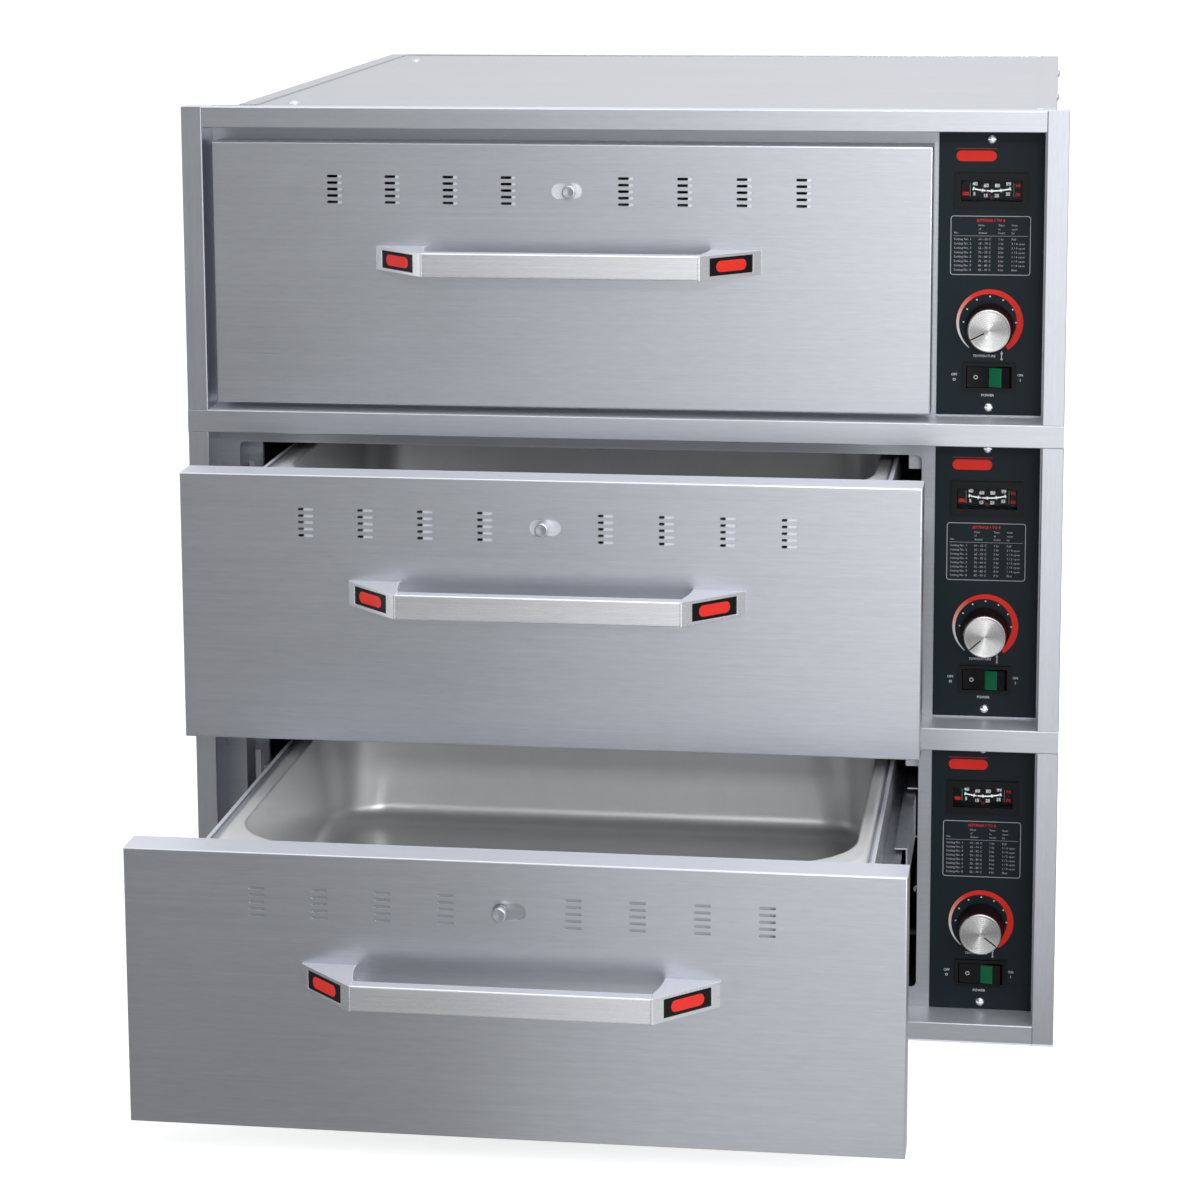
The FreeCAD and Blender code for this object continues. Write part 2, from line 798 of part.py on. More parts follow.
def drawer_front(bay):
    """The folded outer shell, open at the back, with guides for its vent slider."""
    outer = box(front_left, front_right, closed_y, front_back, front_top - front_height, front_top)
    edges = [edge for edge in outer.Edges if abs(edge.BoundBox.YMax - closed_y) < hair]
    outer = outer.makeFillet(front_edge_radius, edges)
    t = front_wall
    inner = box(front_left + t, front_right - t, closed_y + t, front_back + cut,
                front_top - front_height + t, front_top - t)
    y0, y1 = closed_y - cut, closed_y + t + cut
    boss_slot = 2 * (boss_radius + boss_clearance)
    openings = vent_slots(y0, y1)
    openings.append(slot_prism(front_middle, front_top - vent_drop,
                               boss_slot + vent_length, boss_slot, y0, y1))
    shell = outer.cut(inner).cut(openings)
    return with_drawer(joined([shell] + slider_guides()), bay)


def drawer_backing(bay):
    """The tray that closes the drawer front from behind."""
    t = front_wall
    x0, x1 = front_left + t, front_right - t
    z0, z1 = front_top - front_height + t, front_top - t
    y0 = front_back - backing_depth
    t = backing_wall
    tray = box(x0, x1, y0, front_back, z0, z1)
    hollow = box(x0 + t, x1 - t, y0 - cut, front_back - t, z0 + t, z1 - t)
    return with_drawer(tray.cut([hollow] + vent_windows(front_back - t - cut, front_back + cut)), bay)


def slider_shift(bay):
    """How far the slider has moved from fully open."""
    return (vent_opening[bay] - 1.0) * vent_length


def vent_slider(bay):
    y0 = closed_y + front_wall + slider_gap
    y1 = y0 + slider_wall
    half, rise = slider_size()
    middle = front_top - vent_drop
    plate = box(front_middle - half, front_middle + half, y0, y1, middle - rise, middle + rise)
    x = front_middle + vent_length / 2
    hole = rod(screw_radius + screw_clearance, Vector(x, y0 - cut, middle), Vector(x, y1 + cut, middle))
    plate = plate.cut(vent_slots(y0 - cut, y1 + cut) + [hole])
    return with_drawer(moved(plate, x=slider_shift(bay)), bay)


def vent_screw(bay):
    """A thumb screw with a boss that runs in the front's slot, and its nut behind the slider."""
    x, z = front_middle + vent_length / 2, front_top - vent_drop
    plate_y = closed_y + front_wall + slider_gap
    head_back = closed_y - thumb_neck
    head = rod(thumb_radius, Vector(x, head_back - thumb_length, z), Vector(x, head_back, z))
    rims = [edge for edge in head.Edges if edge.BoundBox.YLength < hair]
    head = head.makeChamfer(thumb_chamfer, rims)
    boss = rod(boss_radius, Vector(x, head_back, z), Vector(x, plate_y, z))
    nut_y = plate_y + slider_wall
    nut_back = nut_y + nut_height
    shank = rod(screw_radius, Vector(x, plate_y, z), Vector(x, nut_back, z))
    nut = rod(screw_head_radius, Vector(x, nut_y, z), Vector(x, nut_back, z))
    return with_drawer(moved(joined([head, boss, shank, nut]), x=slider_shift(bay)), bay)


def drawer_frame(bay):
    """Four folded walls with a rim on top, wide at the front, and a ledge inside that carries the pan."""
    t = frame_wall
    y0, y1 = front_back, front_back + frame_depth
    low = rim_top - frame_height
    outer = box(frame_left, frame_right, y0, y1, low, rim_top)
    below_rim = box(frame_left + t, frame_right - t, y0 + t, y1 - t, low - cut, rim_top - t)
    above_rim = box(frame_left + rim_width, frame_right - rim_width, y0 + front_deck, y1 - rim_width,
                    low, rim_top + cut)
    walls = outer.cut([below_rim, above_rim] + vent_windows(y0 - cut, y0 + t + cut))
    seat = rim_top - pan_drop - pan_wall
    ledge = box(frame_left + t, frame_right - t, y0 + t, y1 - t, seat - ledge_wall, seat)
    x0, x1, pan_y0, pan_y1 = pan_outline()
    lap = ledge_lap
    opening = box(x0 + lap, x1 - lap, pan_y0 + lap, pan_y1 - lap, low, rim_top)
    return with_drawer(joined([walls, ledge.cut(opening)]), bay)


def rounded_outline(x0, x1, y0, y1, radius, z):
    """A closed outline at height z on a rectangle with round corners."""
    r = radius
    turn = r * (1 - math.sqrt(0.5))
    starts = [Vector(x0 + r, y0, z), Vector(x1, y0 + r, z), Vector(x1 - r, y1, z), Vector(x0, y1 - r, z)]
    ends = [Vector(x1 - r, y0, z), Vector(x1, y1 - r, z), Vector(x0 + r, y1, z), Vector(x0, y0 + r, z)]
    bends = [Vector(x1 - turn, y0 + turn, z), Vector(x1 - turn, y1 - turn, z),
             Vector(x0 + turn, y1 - turn, z), Vector(x0 + turn, y0 + turn, z)]
    edges = []
    for i in range(4):
        edges.append(Part.makeLine(starts[i], ends[i]))
        edges.append(Part.Arc(ends[i], bends[i], starts[(i + 1) % 4]).toShape())
    return Part.Wire(edges)


def pan_well(inset, top, floor, floor_radius):
    """A pan's well as a solid with leaning walls, its outline drawn in by inset."""
    x0, x1, y0, y1 = pan_opening()
    outlines = []
    for d, radius, z in ((inset, pan_corner_radius, top), (inset + pan_draft, pan_foot_radius, floor)):
        outlines.append(rounded_outline(x0 + d, x1 - d, y0 + d, y1 - d, radius - inset, z))
    well = Part.makeLoft(outlines, True, True)
    edges = [edge for edge in well.Edges if edge.BoundBox.ZMax < floor + hair]
    return well.makeFillet(floor_radius, edges)


def pan_outline():
    """The left, right, front and back of the pan's flange, with its drawer closed."""
    gap = rim_width + pan_gap
    y0, y1 = front_back + front_deck + pan_gap, front_back + frame_depth - gap
    return (frame_left + gap, frame_right - gap, y0, y1)


def pan_opening():
    x0, x1, y0, y1 = pan_outline()
    return (x0 + pan_flange, x1 - pan_flange, y0 + pan_flange, y1 - pan_flange)


def pan(bay):
    top = rim_top - pan_drop
    floor = top - pan_depth
    flange = rounded_plate(*pan_outline(), pan_flange_radius, top - pan_wall, top)
    outside = pan_well(-pan_wall, top, floor - pan_wall, pan_floor_radius + pan_wall)
    inside = pan_well(0, top, floor, pan_floor_radius)
    return with_drawer(joined([flange, outside]).cut(inside), bay)


# Handles

def handle_bar(bay):
    top = front_top - handle_drop
    half = handle_width / 2 - bracket_length
    y0 = closed_y - handle_reach
    bar = box(front_middle - half, front_middle + half, y0, y0 + bar_thickness, top - handle_height, top)
    bar = bar.makeFillet(bar_radius, [edge for edge in bar.Edges if abs(edge.Length - 2 * half) < hair])
    return with_drawer(bar, bay)


def handle_bracket():
    """The left bracket: a wedge from the drawer front out to the bar, with a sunk place for an inlay."""
    z0 = front_top - handle_drop - handle_height
    back = Vector(front_middle - handle_width / 2, closed_y, z0)
    inner_foot = back + Vector(bracket_foot, 0, 0)
    bar_back = back + Vector(bracket_length, bar_thickness - handle_reach, 0)
    bend = (inner_foot + bar_back) / 2 - Vector(bracket_bulge, 0, 0)
    bar_front = back + Vector(bracket_length, -handle_reach, 0)
    nose = back + Vector(bracket_length - bracket_nose, -handle_reach, 0)
    tip = back + Vector(0, -bracket_lip, 0)
    edges = [Part.makeLine(back, inner_foot), Part.Arc(inner_foot, bend, bar_back).toShape(),
             Part.makeLine(bar_back, bar_front), Part.makeLine(bar_front, nose),
             Part.makeLine(nose, tip), Part.makeLine(tip, back)]
    wedge = Part.Face(Part.Wire(edges)).extrude(Vector(0, 0, handle_height))
    slope = nose - tip
    slope.normalize()
    angle = math.degrees(math.atan2(slope.y, slope.x))
    margin = (handle_height - badge_height) / 2
    sunk = box(badge_inset, badge_inset + badge_length, -cut, badge_depth, margin, margin + badge_height)
    sunk.Placement = FreeCAD.Placement(tip, FreeCAD.Rotation(Vector(0, 0, 1), angle))
    return wedge.cut(sunk)


def handle_brackets(bay):
    left = handle_bracket()
    right = mirrored_x(left, front_middle)
    return with_drawer(grouped([left, right]), bay)


# Controls

def gauge_z(bay):
    return trim_height - gauge_drop + bay_z(bay)


def dial_z(bay):
    return panel_floor + dial_rise + bay_z(bay)


def rocker_z(bay):
    return panel_floor + rocker_rise + bay_z(bay)


def centred(width, height, y0, y1, z):
    """A block along y, centred on the control panel's middle at height z."""
    return box(panel_middle - width / 2, panel_middle + width / 2, y0, y1, z - height / 2, z + height / 2)


def gauge_body_size():
    return gauge_window_width + 2 * gauge_wall, gauge_window_height + 2 * gauge_wall


def rocker_well_size():
    return rocker_width + 2 * rocker_end_gap, rocker_height + 2 * rocker_side_gap


def rocker_body_size():
    width, height = rocker_well_size()
    return width + 2 * rocker_wall, height + 2 * rocker_wall


def control_panels():
    plate = box(panel_left, panel_left + panel_width, panel_front, face_y, panel_floor, panel_top)
    y0, y1 = panel_front - cut, face_y + cut
    gap = 2 * gauge_clearance
    holes = []
    for (width, height), z in ((gauge_body_size(), gauge_z(0)), (rocker_body_size(), rocker_z(0))):
        holes.append(centred(width + gap, height + gap, y0, y1, z))
    z = dial_z(0)
    holes.append(rod(bushing_radius + bushing_clearance,
                     Vector(panel_middle, y0, z), Vector(panel_middle, y1, z)))
    plate = plate.cut(holes)
    return grouped([drilled(moved(plate, z=bay_z(bay))) for bay in range(bay_count)])


def gauge_cases():
    """Each gauge: a rim on the panel, a body behind it and a pin that the needle turns on."""
    z = gauge_z(0)
    rim = centred(gauge_width, gauge_height, panel_front - gauge_rim, panel_front, z)
    body = centred(*gauge_body_size(), panel_front, panel_front + gauge_body_depth, z)
    scale_y = panel_front + gauge_face_depth
    window = centred(gauge_window_width, gauge_window_height, panel_front - gauge_rim - cut, scale_y, z)
    pivot = Vector(panel_middle, scale_y, z - pivot_drop)
    pin = rod(pivot_radius, pivot - Vector(0, needle_gap + hub_height, 0), pivot + Vector(0, cut, 0))
    case = joined([joined([rim, body]).cut(window), pin])
    return grouped([moved(case, z=bay_z(bay)) for bay in range(bay_count)])


def gauge_needle(bay):
    """The needle at the cold end of its sweep."""
    back = panel_front + gauge_face_depth - needle_gap
    pivot = Vector(panel_middle, back, gauge_z(bay) - pivot_drop)
    front = pivot - Vector(0, hub_height, 0)
    hub = rod(hub_radius, front, pivot)
    half = needle_width / 2
    blade = box(pivot.x - half, pivot.x + half, front.y, front.y + needle_wall,
                pivot.z, pivot.z + needle_length)
    bore = rod(pivot_radius + pivot_clearance, front - Vector(0, cut, 0), pivot + Vector(0, cut, 0))
    needle = joined([hub, blade]).cut(bore)
    needle.rotate(pivot, Vector(0, 1, 0), -needle_sweep / 2)
    return needle


def dial_knob(bay):
    """A skirted knob with a groove for its pointer, and the thermostat's shaft that it turns."""
    back = panel_front - dial_gap
    front = back - knob_depth
    at = Vector(panel_middle, 0, dial_z(bay))
    skirt = rod(knob_skirt_radius, at + Vector(0, back - knob_skirt_depth, 0), at + Vector(0, back, 0))
    cap = rod(knob_radius, at + Vector(0, front, 0), at + Vector(0, back, 0))
    rim = [edge for edge in cap.Edges if abs(edge.BoundBox.YMax - front) < hair]
    cap = cap.makeFillet(knob_edge_radius, rim)
    half = groove_width / 2
    groove = box(groove_start, knob_radius + cut, front - cut, front + groove_depth, -half, half)
    groove.rotate(Vector(0, 0, 0), Vector(0, 1, 0), -knob_angles[bay])
    groove.translate(at)
    shaft_end = at + Vector(0, back - shaft_grip, 0)
    bore = rod(shaft_radius, shaft_end, at + Vector(0, back + cut, 0))
    shaft = rod(shaft_radius, shaft_end, at + Vector(0, panel_front + shaft_reach, 0))
    return grouped([joined([skirt, cap]).cut([groove, bore]), shaft])


def thermostats():
    """Each thermostat: a body, its bushing, a capillary and a bulb clipped to the liner."""
    z = dial_z(0)
    front = Vector(panel_middle, panel_front + thermostat_gap, z)
    back = front + Vector(0, thermostat_depth, 0)
    body = rod(thermostat_radius, front, back)
    bushing = rod(bushing_radius, Vector(panel_middle, panel_front - bushing_stand, z), front)
    socket = rod(shaft_radius + shaft_clearance, Vector(panel_middle, panel_front - bushing_stand - cut, z),
                 Vector(panel_middle, panel_front + shaft_reach + socket_gap, z))
    case = joined([body, bushing]).cut(socket)
    bulb_x = liner_right - bulb_gap - bulb_radius
    bulb_front = Vector(bulb_x, capillary_y + capillary_tail, z)
    path = bent_path([back, Vector(panel_middle, capillary_y, z), Vector(bulb_x, capillary_y, z), bulb_front],
                     capillary_bend)
    bulb = rod(bulb_radius, bulb_front, bulb_front + Vector(0, bulb_length, 0))
    half = clip_wall / 2
    clips = [box(bulb_x, liner_right, y, y + clip_width, z - half, z + half)
             for y in (bulb_front.y, bulb_front.y + bulb_length - clip_width)]
    whole = joined([case, tube(path, capillary_radius, Vector(0, 1, 0)), bulb] + clips)
    return grouped([moved(whole, z=bay_z(bay)) for bay in range(bay_count)])


def bent_path(points, radius):
    """Straight runs through the points, with an arc of the radius at each turn."""
    edges = []
    start = points[0]
    for before, corner, after in zip(points, points[1:], points[2:]):
        towards = corner - before
        towards.normalize()
        away = after - corner
        away.normalize()
        reach = radius * math.tan(towards.getAngle(away) / 2)
        first = corner - towards * reach
        last = corner + away * reach
        bisector = away - towards
        bisector.normalize()
        centre = corner + bisector * math.hypot(radius, reach)
        middle = centre - bisector * radius
        edges.append(Part.makeLine(start, first))
        edges.append(Part.Arc(first, middle, last).toShape())
        start = last
    edges.append(Part.makeLine(start, points[-1]))
    return Part.Wire(edges)


def tube(path, radius, direction):
    """A solid rod along a path that starts in the direction."""
    start = path.OrderedVertexes[0].Point
    ring = Part.Wire([Part.Circle(start, direction, radius).toShape()])
    return path.makePipeShell([ring], True, True)


def rocker_cases():
    """Each switch body: a rim on the panel, a well for the rocker and holes for its pins."""
    z = rocker_z(0)
    rim = centred(rocker_bezel_width, rocker_bezel_height, panel_front - rocker_rim, panel_front, z)
    body = centred(*rocker_body_size(), panel_front, panel_front + rocker_body_depth, z)
    well = centred(*rocker_well_size(), panel_front - rocker_rim - cut, panel_front + rocker_well, z)
    pivot = Vector(panel_middle, panel_front + rocker_pivot, z)
    reach = Vector(0, 0, rocker_height / 2 + rocker_side_gap + pin_reach)
    holes = rod(pin_radius + pin_clearance, pivot - reach, pivot + reach)
    case = joined([rim, body]).cut([well, holes])
    return grouped([moved(case, z=bay_z(bay)) for bay in range(bay_count)])


def rocker(bay):
    """The rocker with its left end pressed in."""
    half = rocker_width / 2
    front = panel_front - rocker_rim
    side_back, back = front + rocker_thickness / 2, front + rocker_thickness
    corners = [(-half, front - rocker_valley), (0, front), (half, front - rocker_valley), (half, side_back),
               (half / 2, back), (-half / 2, back), (-half, side_back)]
    middle = Vector(panel_middle, 0, rocker_z(bay) - rocker_height / 2)
    pivot = middle + Vector(0, panel_front + rocker_pivot, 0)
    outline = [middle + Vector(x, y, 0) for x, y in corners]
    block = polygon_prism(outline, Vector(0, 0, rocker_height))
    reach = Vector(0, 0, rocker_side_gap + pin_reach - pin_end_gap)
    pins = rod(pin_radius, pivot - reach, pivot + Vector(0, 0, rocker_height) + reach)
    piece = joined([block, pins])
    piece.rotate(pivot, Vector(0, 0, 1), -rocker_swing)
    return piece


# Heating elements

def element_z(bay):
    return liner_floor(bay) + element_lift


def element_y(run):
    return liner_y + element_front_gap + run * element_pitch


def heating_elements():
    """Each element: a sheathed tube in level runs, with flanges at the divider and two supports."""
    z = element_z(0)
    wall_x = divider_x + sheet
    end = wall_x + element_tail
    left, right = liner_left + element_side_gap, liner_right - element_side_gap
    bend = element_pitch / 2
    last = element_runs - 1
    edges = []
    start = Vector(end, element_y(0), z)
    for run in range(last):
        turn_x = left if run % 2 == 0 else right
        bulge = -bend if run % 2 == 0 else bend
        turn = Vector(turn_x, element_y(run), z)
        middle = Vector(turn_x + bulge, element_y(run) + bend, z)
        edges.append(Part.makeLine(start, turn))
        start = Vector(turn_x, element_y(run + 1), z)
        edges.append(Part.Arc(turn, middle, start).toShape())
    edges.append(Part.makeLine(start, Vector(end, element_y(last), z)))
    pieces = [tube(Part.Wire(edges), element_radius, Vector(1, 0, 0))]
    for run in (0, last):
        at = Vector(wall_x, element_y(run), z)
        pieces.append(rod(element_flange_radius, at, at + Vector(element_flange_wall, 0, 0)))
    y0, y1 = element_y(0) - support_reach, element_y(last) + support_reach
    for x in (left + support_inset, right - support_inset):
        pieces.append(box(x, x + support_wall, y0, y1, liner_floor(0), z))
    element = joined(pieces)
    return grouped([moved(element, z=bay_z(bay)) for bay in range(bay_count)])


fixed_nodes = (trim_rails, trim_stiles, face_plate, cabinet_base, cabinet_top, cabinet_left_side,
               cabinet_right_side, cabinet_back, divider_wall, insulation, cable_gland, fixed_slides,
               control_panels, gauge_cases, thermostats, rocker_cases, heating_elements, screws)
bay_nodes = (cavity_liner, drawer_front, drawer_backing, drawer_frame, pan, handle_bar, handle_brackets,
             drawer_slides, middle_slides, vent_slider, vent_screw, gauge_needle, dial_knob, rocker)
bay_names = ("upper", "centre", "lower")


def main():
    os.makedirs("parts", exist_ok=True)
    made = {make.__name__: make() for make in fixed_nodes}
    for bay, name in enumerate(bay_names):
        for make in bay_nodes:
            made[f"{make.__name__}_{name}"] = make(bay)
    for name, shape in made.items():
        finished = place(shape)
        finished.exportStep(f"parts/{name}.step")
        print(f"{name}: {len(finished.Solids)} solids, valid {finished.isValid()}, {finished.BoundBox}")


main()
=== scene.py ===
# The finishes, prints and small parts of a built-in three-drawer food warmer, set around its fixed frame.
import math
import bpy
import numpy as np
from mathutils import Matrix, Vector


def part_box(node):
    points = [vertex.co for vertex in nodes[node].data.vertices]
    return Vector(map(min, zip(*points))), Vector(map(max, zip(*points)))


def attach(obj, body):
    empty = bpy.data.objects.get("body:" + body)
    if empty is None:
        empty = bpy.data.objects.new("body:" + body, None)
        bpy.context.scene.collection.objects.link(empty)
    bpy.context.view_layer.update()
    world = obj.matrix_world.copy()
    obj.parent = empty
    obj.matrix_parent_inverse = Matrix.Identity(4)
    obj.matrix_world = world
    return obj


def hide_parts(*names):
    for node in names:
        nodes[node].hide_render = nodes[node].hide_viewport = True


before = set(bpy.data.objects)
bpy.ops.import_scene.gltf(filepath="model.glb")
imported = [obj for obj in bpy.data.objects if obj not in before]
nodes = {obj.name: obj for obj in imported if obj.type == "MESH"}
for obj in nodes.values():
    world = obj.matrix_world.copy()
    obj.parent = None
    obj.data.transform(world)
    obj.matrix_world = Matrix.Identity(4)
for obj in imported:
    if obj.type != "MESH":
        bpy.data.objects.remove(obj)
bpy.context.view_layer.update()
bays = ("upper", "centre", "lower")
mm = 0.001
print("frame loaded:", len(nodes), "nodes")


# Shader maths

def operator(name, flipped=False):
    return lambda self, other: self.maths(name, other, flipped)


class Signal:                                   # a node's output, so that shader maths reads as maths
    def __init__(self, tree, socket):
        self.tree, self.socket = tree, socket

    def maths(self, name, other, flipped=False):
        first, second = (other, self) if flipped else (self, other)
        return self.tree.node("Math", {"operation": name}, {0: first, 1: second})

    __add__ = operator("ADD")
    __radd__ = operator("ADD", True)
    __sub__ = operator("SUBTRACT")
    __rsub__ = operator("SUBTRACT", True)
    __mul__ = operator("MULTIPLY")
    __truediv__ = operator("DIVIDE")
    __pow__ = operator("POWER")


class Tree:                                     # the nodes of one material, or of the world
    def __init__(self, owner):
        owner.use_nodes = True
        self.owner, self.tree = owner, owner.node_tree
        self.tree.nodes.clear()

    def node(self, kind, settings={}, values={}, output=0):
        made = self.tree.nodes.new("ShaderNode" + kind)
        for setting, value in settings.items():
            if setting == "stops":
                while len(made.color_ramp.elements) < len(value):
                    made.color_ramp.elements.new(0.5)
                for element, (position, colour) in zip(made.color_ramp.elements, value):
                    element.position, element.color = position, (*colour, 1)
            else:
                setattr(made, setting, value)
        for socket, value in values.items():
            if isinstance(value, Signal):
                self.tree.links.new(value.socket, made.inputs[socket])
            elif hasattr(value, "__len__") and made.inputs[socket].type == "RGBA":
                made.inputs[socket].default_value = (*value, 1)
            else:
                made.inputs[socket].default_value = value
        return Signal(self, made.outputs[output]) if made.outputs else None

    def place(self, stretch=(1, 1, 1)):         # object coordinates in metres, times stretch
        at = self.node("TexCoord", output="Object")
        return self.node("VectorMath", {"operation": "MULTIPLY"}, {0: at, 1: stretch})

    def noise(self, stretch, detail=2.0, roughness=0.5):
        values = {"Vector": self.place(stretch), "Scale": 1.0, "Detail": detail, "Roughness": roughness}
        return self.node("TexNoise", {}, values)

    def blend(self, factor, first, second):     # a mix of two colours
        return self.node("Mix", {"data_type": "RGBA"}, {"Factor": factor, 6: first, 7: second}, 2)

    def ramp(self, signal, stops):
        return self.node("ValToRGB", {"stops": stops}, {"Fac": signal})

    def bump(self, height, depth):              # depth is the height's real size in metres
        return self.node("Bump", {}, {"Height": height, "Distance": depth, "Strength": 1.0})

    def surface(self, **values):
        sockets = {name.replace("_", " "): value for name, value in values.items()}
        shader = self.node("BsdfPrincipled", {}, sockets)
        self.node("OutputMaterial", {}, {"Surface": shader})
        return self.owner


def newFinish(name):
    return Tree(bpy.data.materials.new(name))


def shade(level, tint=(1.0, 1.0, 1.0)):         # a grey of that reflectance, tinted
    return tuple(min(level * part, 1.0) for part in tint)


coolGrey = (0.945, 0.98, 1.06)
plainGrey = (0.99, 1.0, 1.01)


# Finishes

perMetre = {                # how fine each even pattern is
    "smear": 7, "mottle": 60, "satinGrain": 900, "spangle": 160, "dust": 500, "grit": 1500, "wear": 220,
    "drift": 35, "peel": 700, "heatPatch": 25,
}
steel = {
    "level": 0.60,          # how much light the polished sheet gives back
    "roughness": 0.31,
    "grainPerMetre": 1300.0,
    "streakPerMetre": 5.0,
    "dashPerMetre": 520.0,  # the short dashes that still show from a step away
    "dashStretch": 0.12,
    "broadShare": 0.22,     # the broad streaks' density beside the fine grain's
    "contrast": 0.17,
    "grainDepth": 0.012 * mm,
    "glossGrain": 0.10,     # how much the grain changes the roughness
    "glossSmear": 0.10,     # and how much handling does
    "paintedTopGloss": 0.15,
    "paintedTopLevel": 0.80,        # faces that look up get painted top light, paler than the rest
    "paintedTopShare": 0.45,
    "paintedTopFrom": 0.55,
    "paintedTopTo": 0.9,
}


def paintedTopLightMask(tree):                             # the mask for painted top light: 0 on upright faces, 1 on those that look up
    up = tree.node("SeparateXYZ", {}, {0: tree.node("NewGeometry", output="Normal")}, "Z")
    span = {"Value": up, "From Min": steel["paintedTopFrom"], "From Max": steel["paintedTopTo"]}
    return tree.node("MapRange", {"clamp": True}, span)


def brushedSteel(name, along, level=steel["level"], roughness=steel["roughness"], tint=coolGrey, depth=1.0,
                 paintedTopWeight=steel["paintedTopShare"]):
    # Streaks and dashes: noise drawn out along one axis and fine across it, for colour, roughness and bump.
    tree = newFinish(name)
    axis = "xyz".index(along)
    across, dashed = [steel["grainPerMetre"]] * 3, [steel["dashPerMetre"]] * 3
    across[axis] = steel["streakPerMetre"]
    dashed[axis] *= steel["dashStretch"]
    fine = tree.noise(across, 3.0, 0.6)
    broad = tree.noise([part * steel["broadShare"] for part in across], 2.0)
    dashes = tree.noise(dashed, 2.0, 0.6)
    smear = tree.noise([perMetre["smear"]] * 3, 3.0, 0.55)
    grain = fine * 0.35 + broad * 0.2 + dashes * 0.45
    dim, bright = (shade(level * (1 + side * steel["contrast"]), tint) for side in (-1, 1))
    tone = tree.blend(grain, dim, bright)
    gloss = roughness + (fine - 0.5) * steel["glossGrain"] + (smear - 0.5) * steel["glossSmear"]
    bump = tree.bump(fine * 0.7 + broad * 0.6, steel["grainDepth"] * depth)
    if not paintedTopWeight:
        return tree.surface(Base_Color=tone, Roughness=gloss, Metallic=1.0, Normal=bump)
    # painted top light: where faces look up, the colour turns paler, rougher and less metal, standing in for
    # the light from above
    up = paintedTopLightMask(tree)
    tone = tree.blend(up, tone, shade(steel["paintedTopLevel"], tint))
    gloss = gloss + up * steel["paintedTopGloss"]
    return tree.surface(Base_Color=tone, Roughness=gloss, Metallic=1.0 - up * paintedTopWeight, Normal=bump)


def satinSteel(name, level, roughness, tint=coolGrey, metal=1.0):
    # Deep-drawn steel: even, with a soft mottle and no grain. Below 1, metal is how much of it mirrors.
    tree = newFinish(name)
    mottle = tree.noise([perMetre["mottle"]] * 3, 4.0, 0.6)
    fine = tree.noise([perMetre["satinGrain"]] * 3, 2.0)
    tone = tree.blend(mottle, shade(level * 0.96, tint), shade(level * 1.04, tint))
    gloss = roughness + (mottle - 0.5) * 0.08
    return tree.surface(Base_Color=tone, Roughness=gloss, Metallic=metal, Normal=tree.bump(fine, 0.006 * mm))


def zincSteel(name):
    # Zinc plating: pale blotches with soft borders over a slightly rough face.
    tree = newFinish(name)
    spangle = tree.node("TexVoronoi", {}, {"Vector": tree.place([perMetre["spangle"]] * 3), "Scale": 1.0})
    dust = tree.noise([perMetre["dust"]] * 3, 3.0)
    tone = tree.blend(spangle * 0.7 + dust * 0.3, shade(0.42, coolGrey), shade(0.58, coolGrey))
    return tree.surface(Base_Color=tone, Roughness=0.36 + dust * 0.12, Metallic=1.0,
                        Normal=tree.bump(dust, 0.01 * mm))


turned = {
    "ringPitch": 0.42 * mm, "ringDepth": 0.016 * mm,
    "paintedFanTurn": 62.0,        # the angle of the two fans of painted highlight, in degrees
    "paintedFanFrom": -0.9, "paintedFanTo": 0.95, "paintedFanDim": 0.5, "paintedFanBright": 1.15,
    "grooveShare": 0.07, "grooveLevel": 0.4,
}


def spunMetal(name, level, roughness, centres):
    # Turned rings: a wave of the distance from each knob's axis tips the normals in and out, and darkens the
    # grooves. A painted highlight in two fans: the cosine of twice the angle round that axis, put into the
    # colour.
    tree = newFinish(name)
    at = tree.node("SeparateXYZ", {}, {0: tree.place()})
    x = Signal(tree, at.socket.node.outputs["X"])
    z = Signal(tree, at.socket.node.outputs["Z"])
    middleX, firstZ, pitch = centres
    row = (z - firstZ) / pitch
    down = row - tree.node("Math", {"operation": "ROUND"}, {0: row})
    radius = ((x - middleX) ** 2.0 + (down * pitch) ** 2.0) ** 0.5
    ring = tree.node("Math", {"operation": "SINE"}, {0: radius * (2 * math.pi / turned["ringPitch"])})
    grit = tree.noise([perMetre["grit"]] * 3, 2.0)
    angle = tree.node("Math", {"operation": "ARCTAN2"}, {0: down * pitch * -1.0, 1: x - middleX})
    # painted highlight: the colour is lighter in two opposite fans round the axis and darker between them
    paintedFan = tree.node("Math", {"operation": "COSINE"}, {0: (angle - math.radians(turned["paintedFanTurn"])) * 2.0})
    span = {"Value": paintedFan, "From Min": turned["paintedFanFrom"], "From Max": turned["paintedFanTo"]}
    paintedFan = tree.node("MapRange", {"interpolation_type": "SMOOTHSTEP"}, span)
    tone = tree.blend(paintedFan, shade(level * turned["paintedFanDim"]), shade(level * turned["paintedFanBright"]))
    tone = tree.blend((ring + 1.0) * turned["grooveShare"], tone, shade(level * turned["grooveLevel"]))
    return tree.surface(Base_Color=tone, Roughness=roughness + grit * 0.06, Metallic=1.0,
                        Normal=tree.bump(ring + grit * 0.4, turned["ringDepth"]))


def plainMetal(name, level, roughness):
    tree = newFinish(name)
    wear = tree.noise([perMetre["wear"]] * 3, 3.0)
    tone = tree.blend(wear, shade(level * 0.92, coolGrey), shade(level * 1.05, coolGrey))
    return tree.surface(Base_Color=tone, Roughness=roughness + wear * 0.10, Metallic=1.0,
                        Normal=tree.bump(wear, 0.01 * mm))


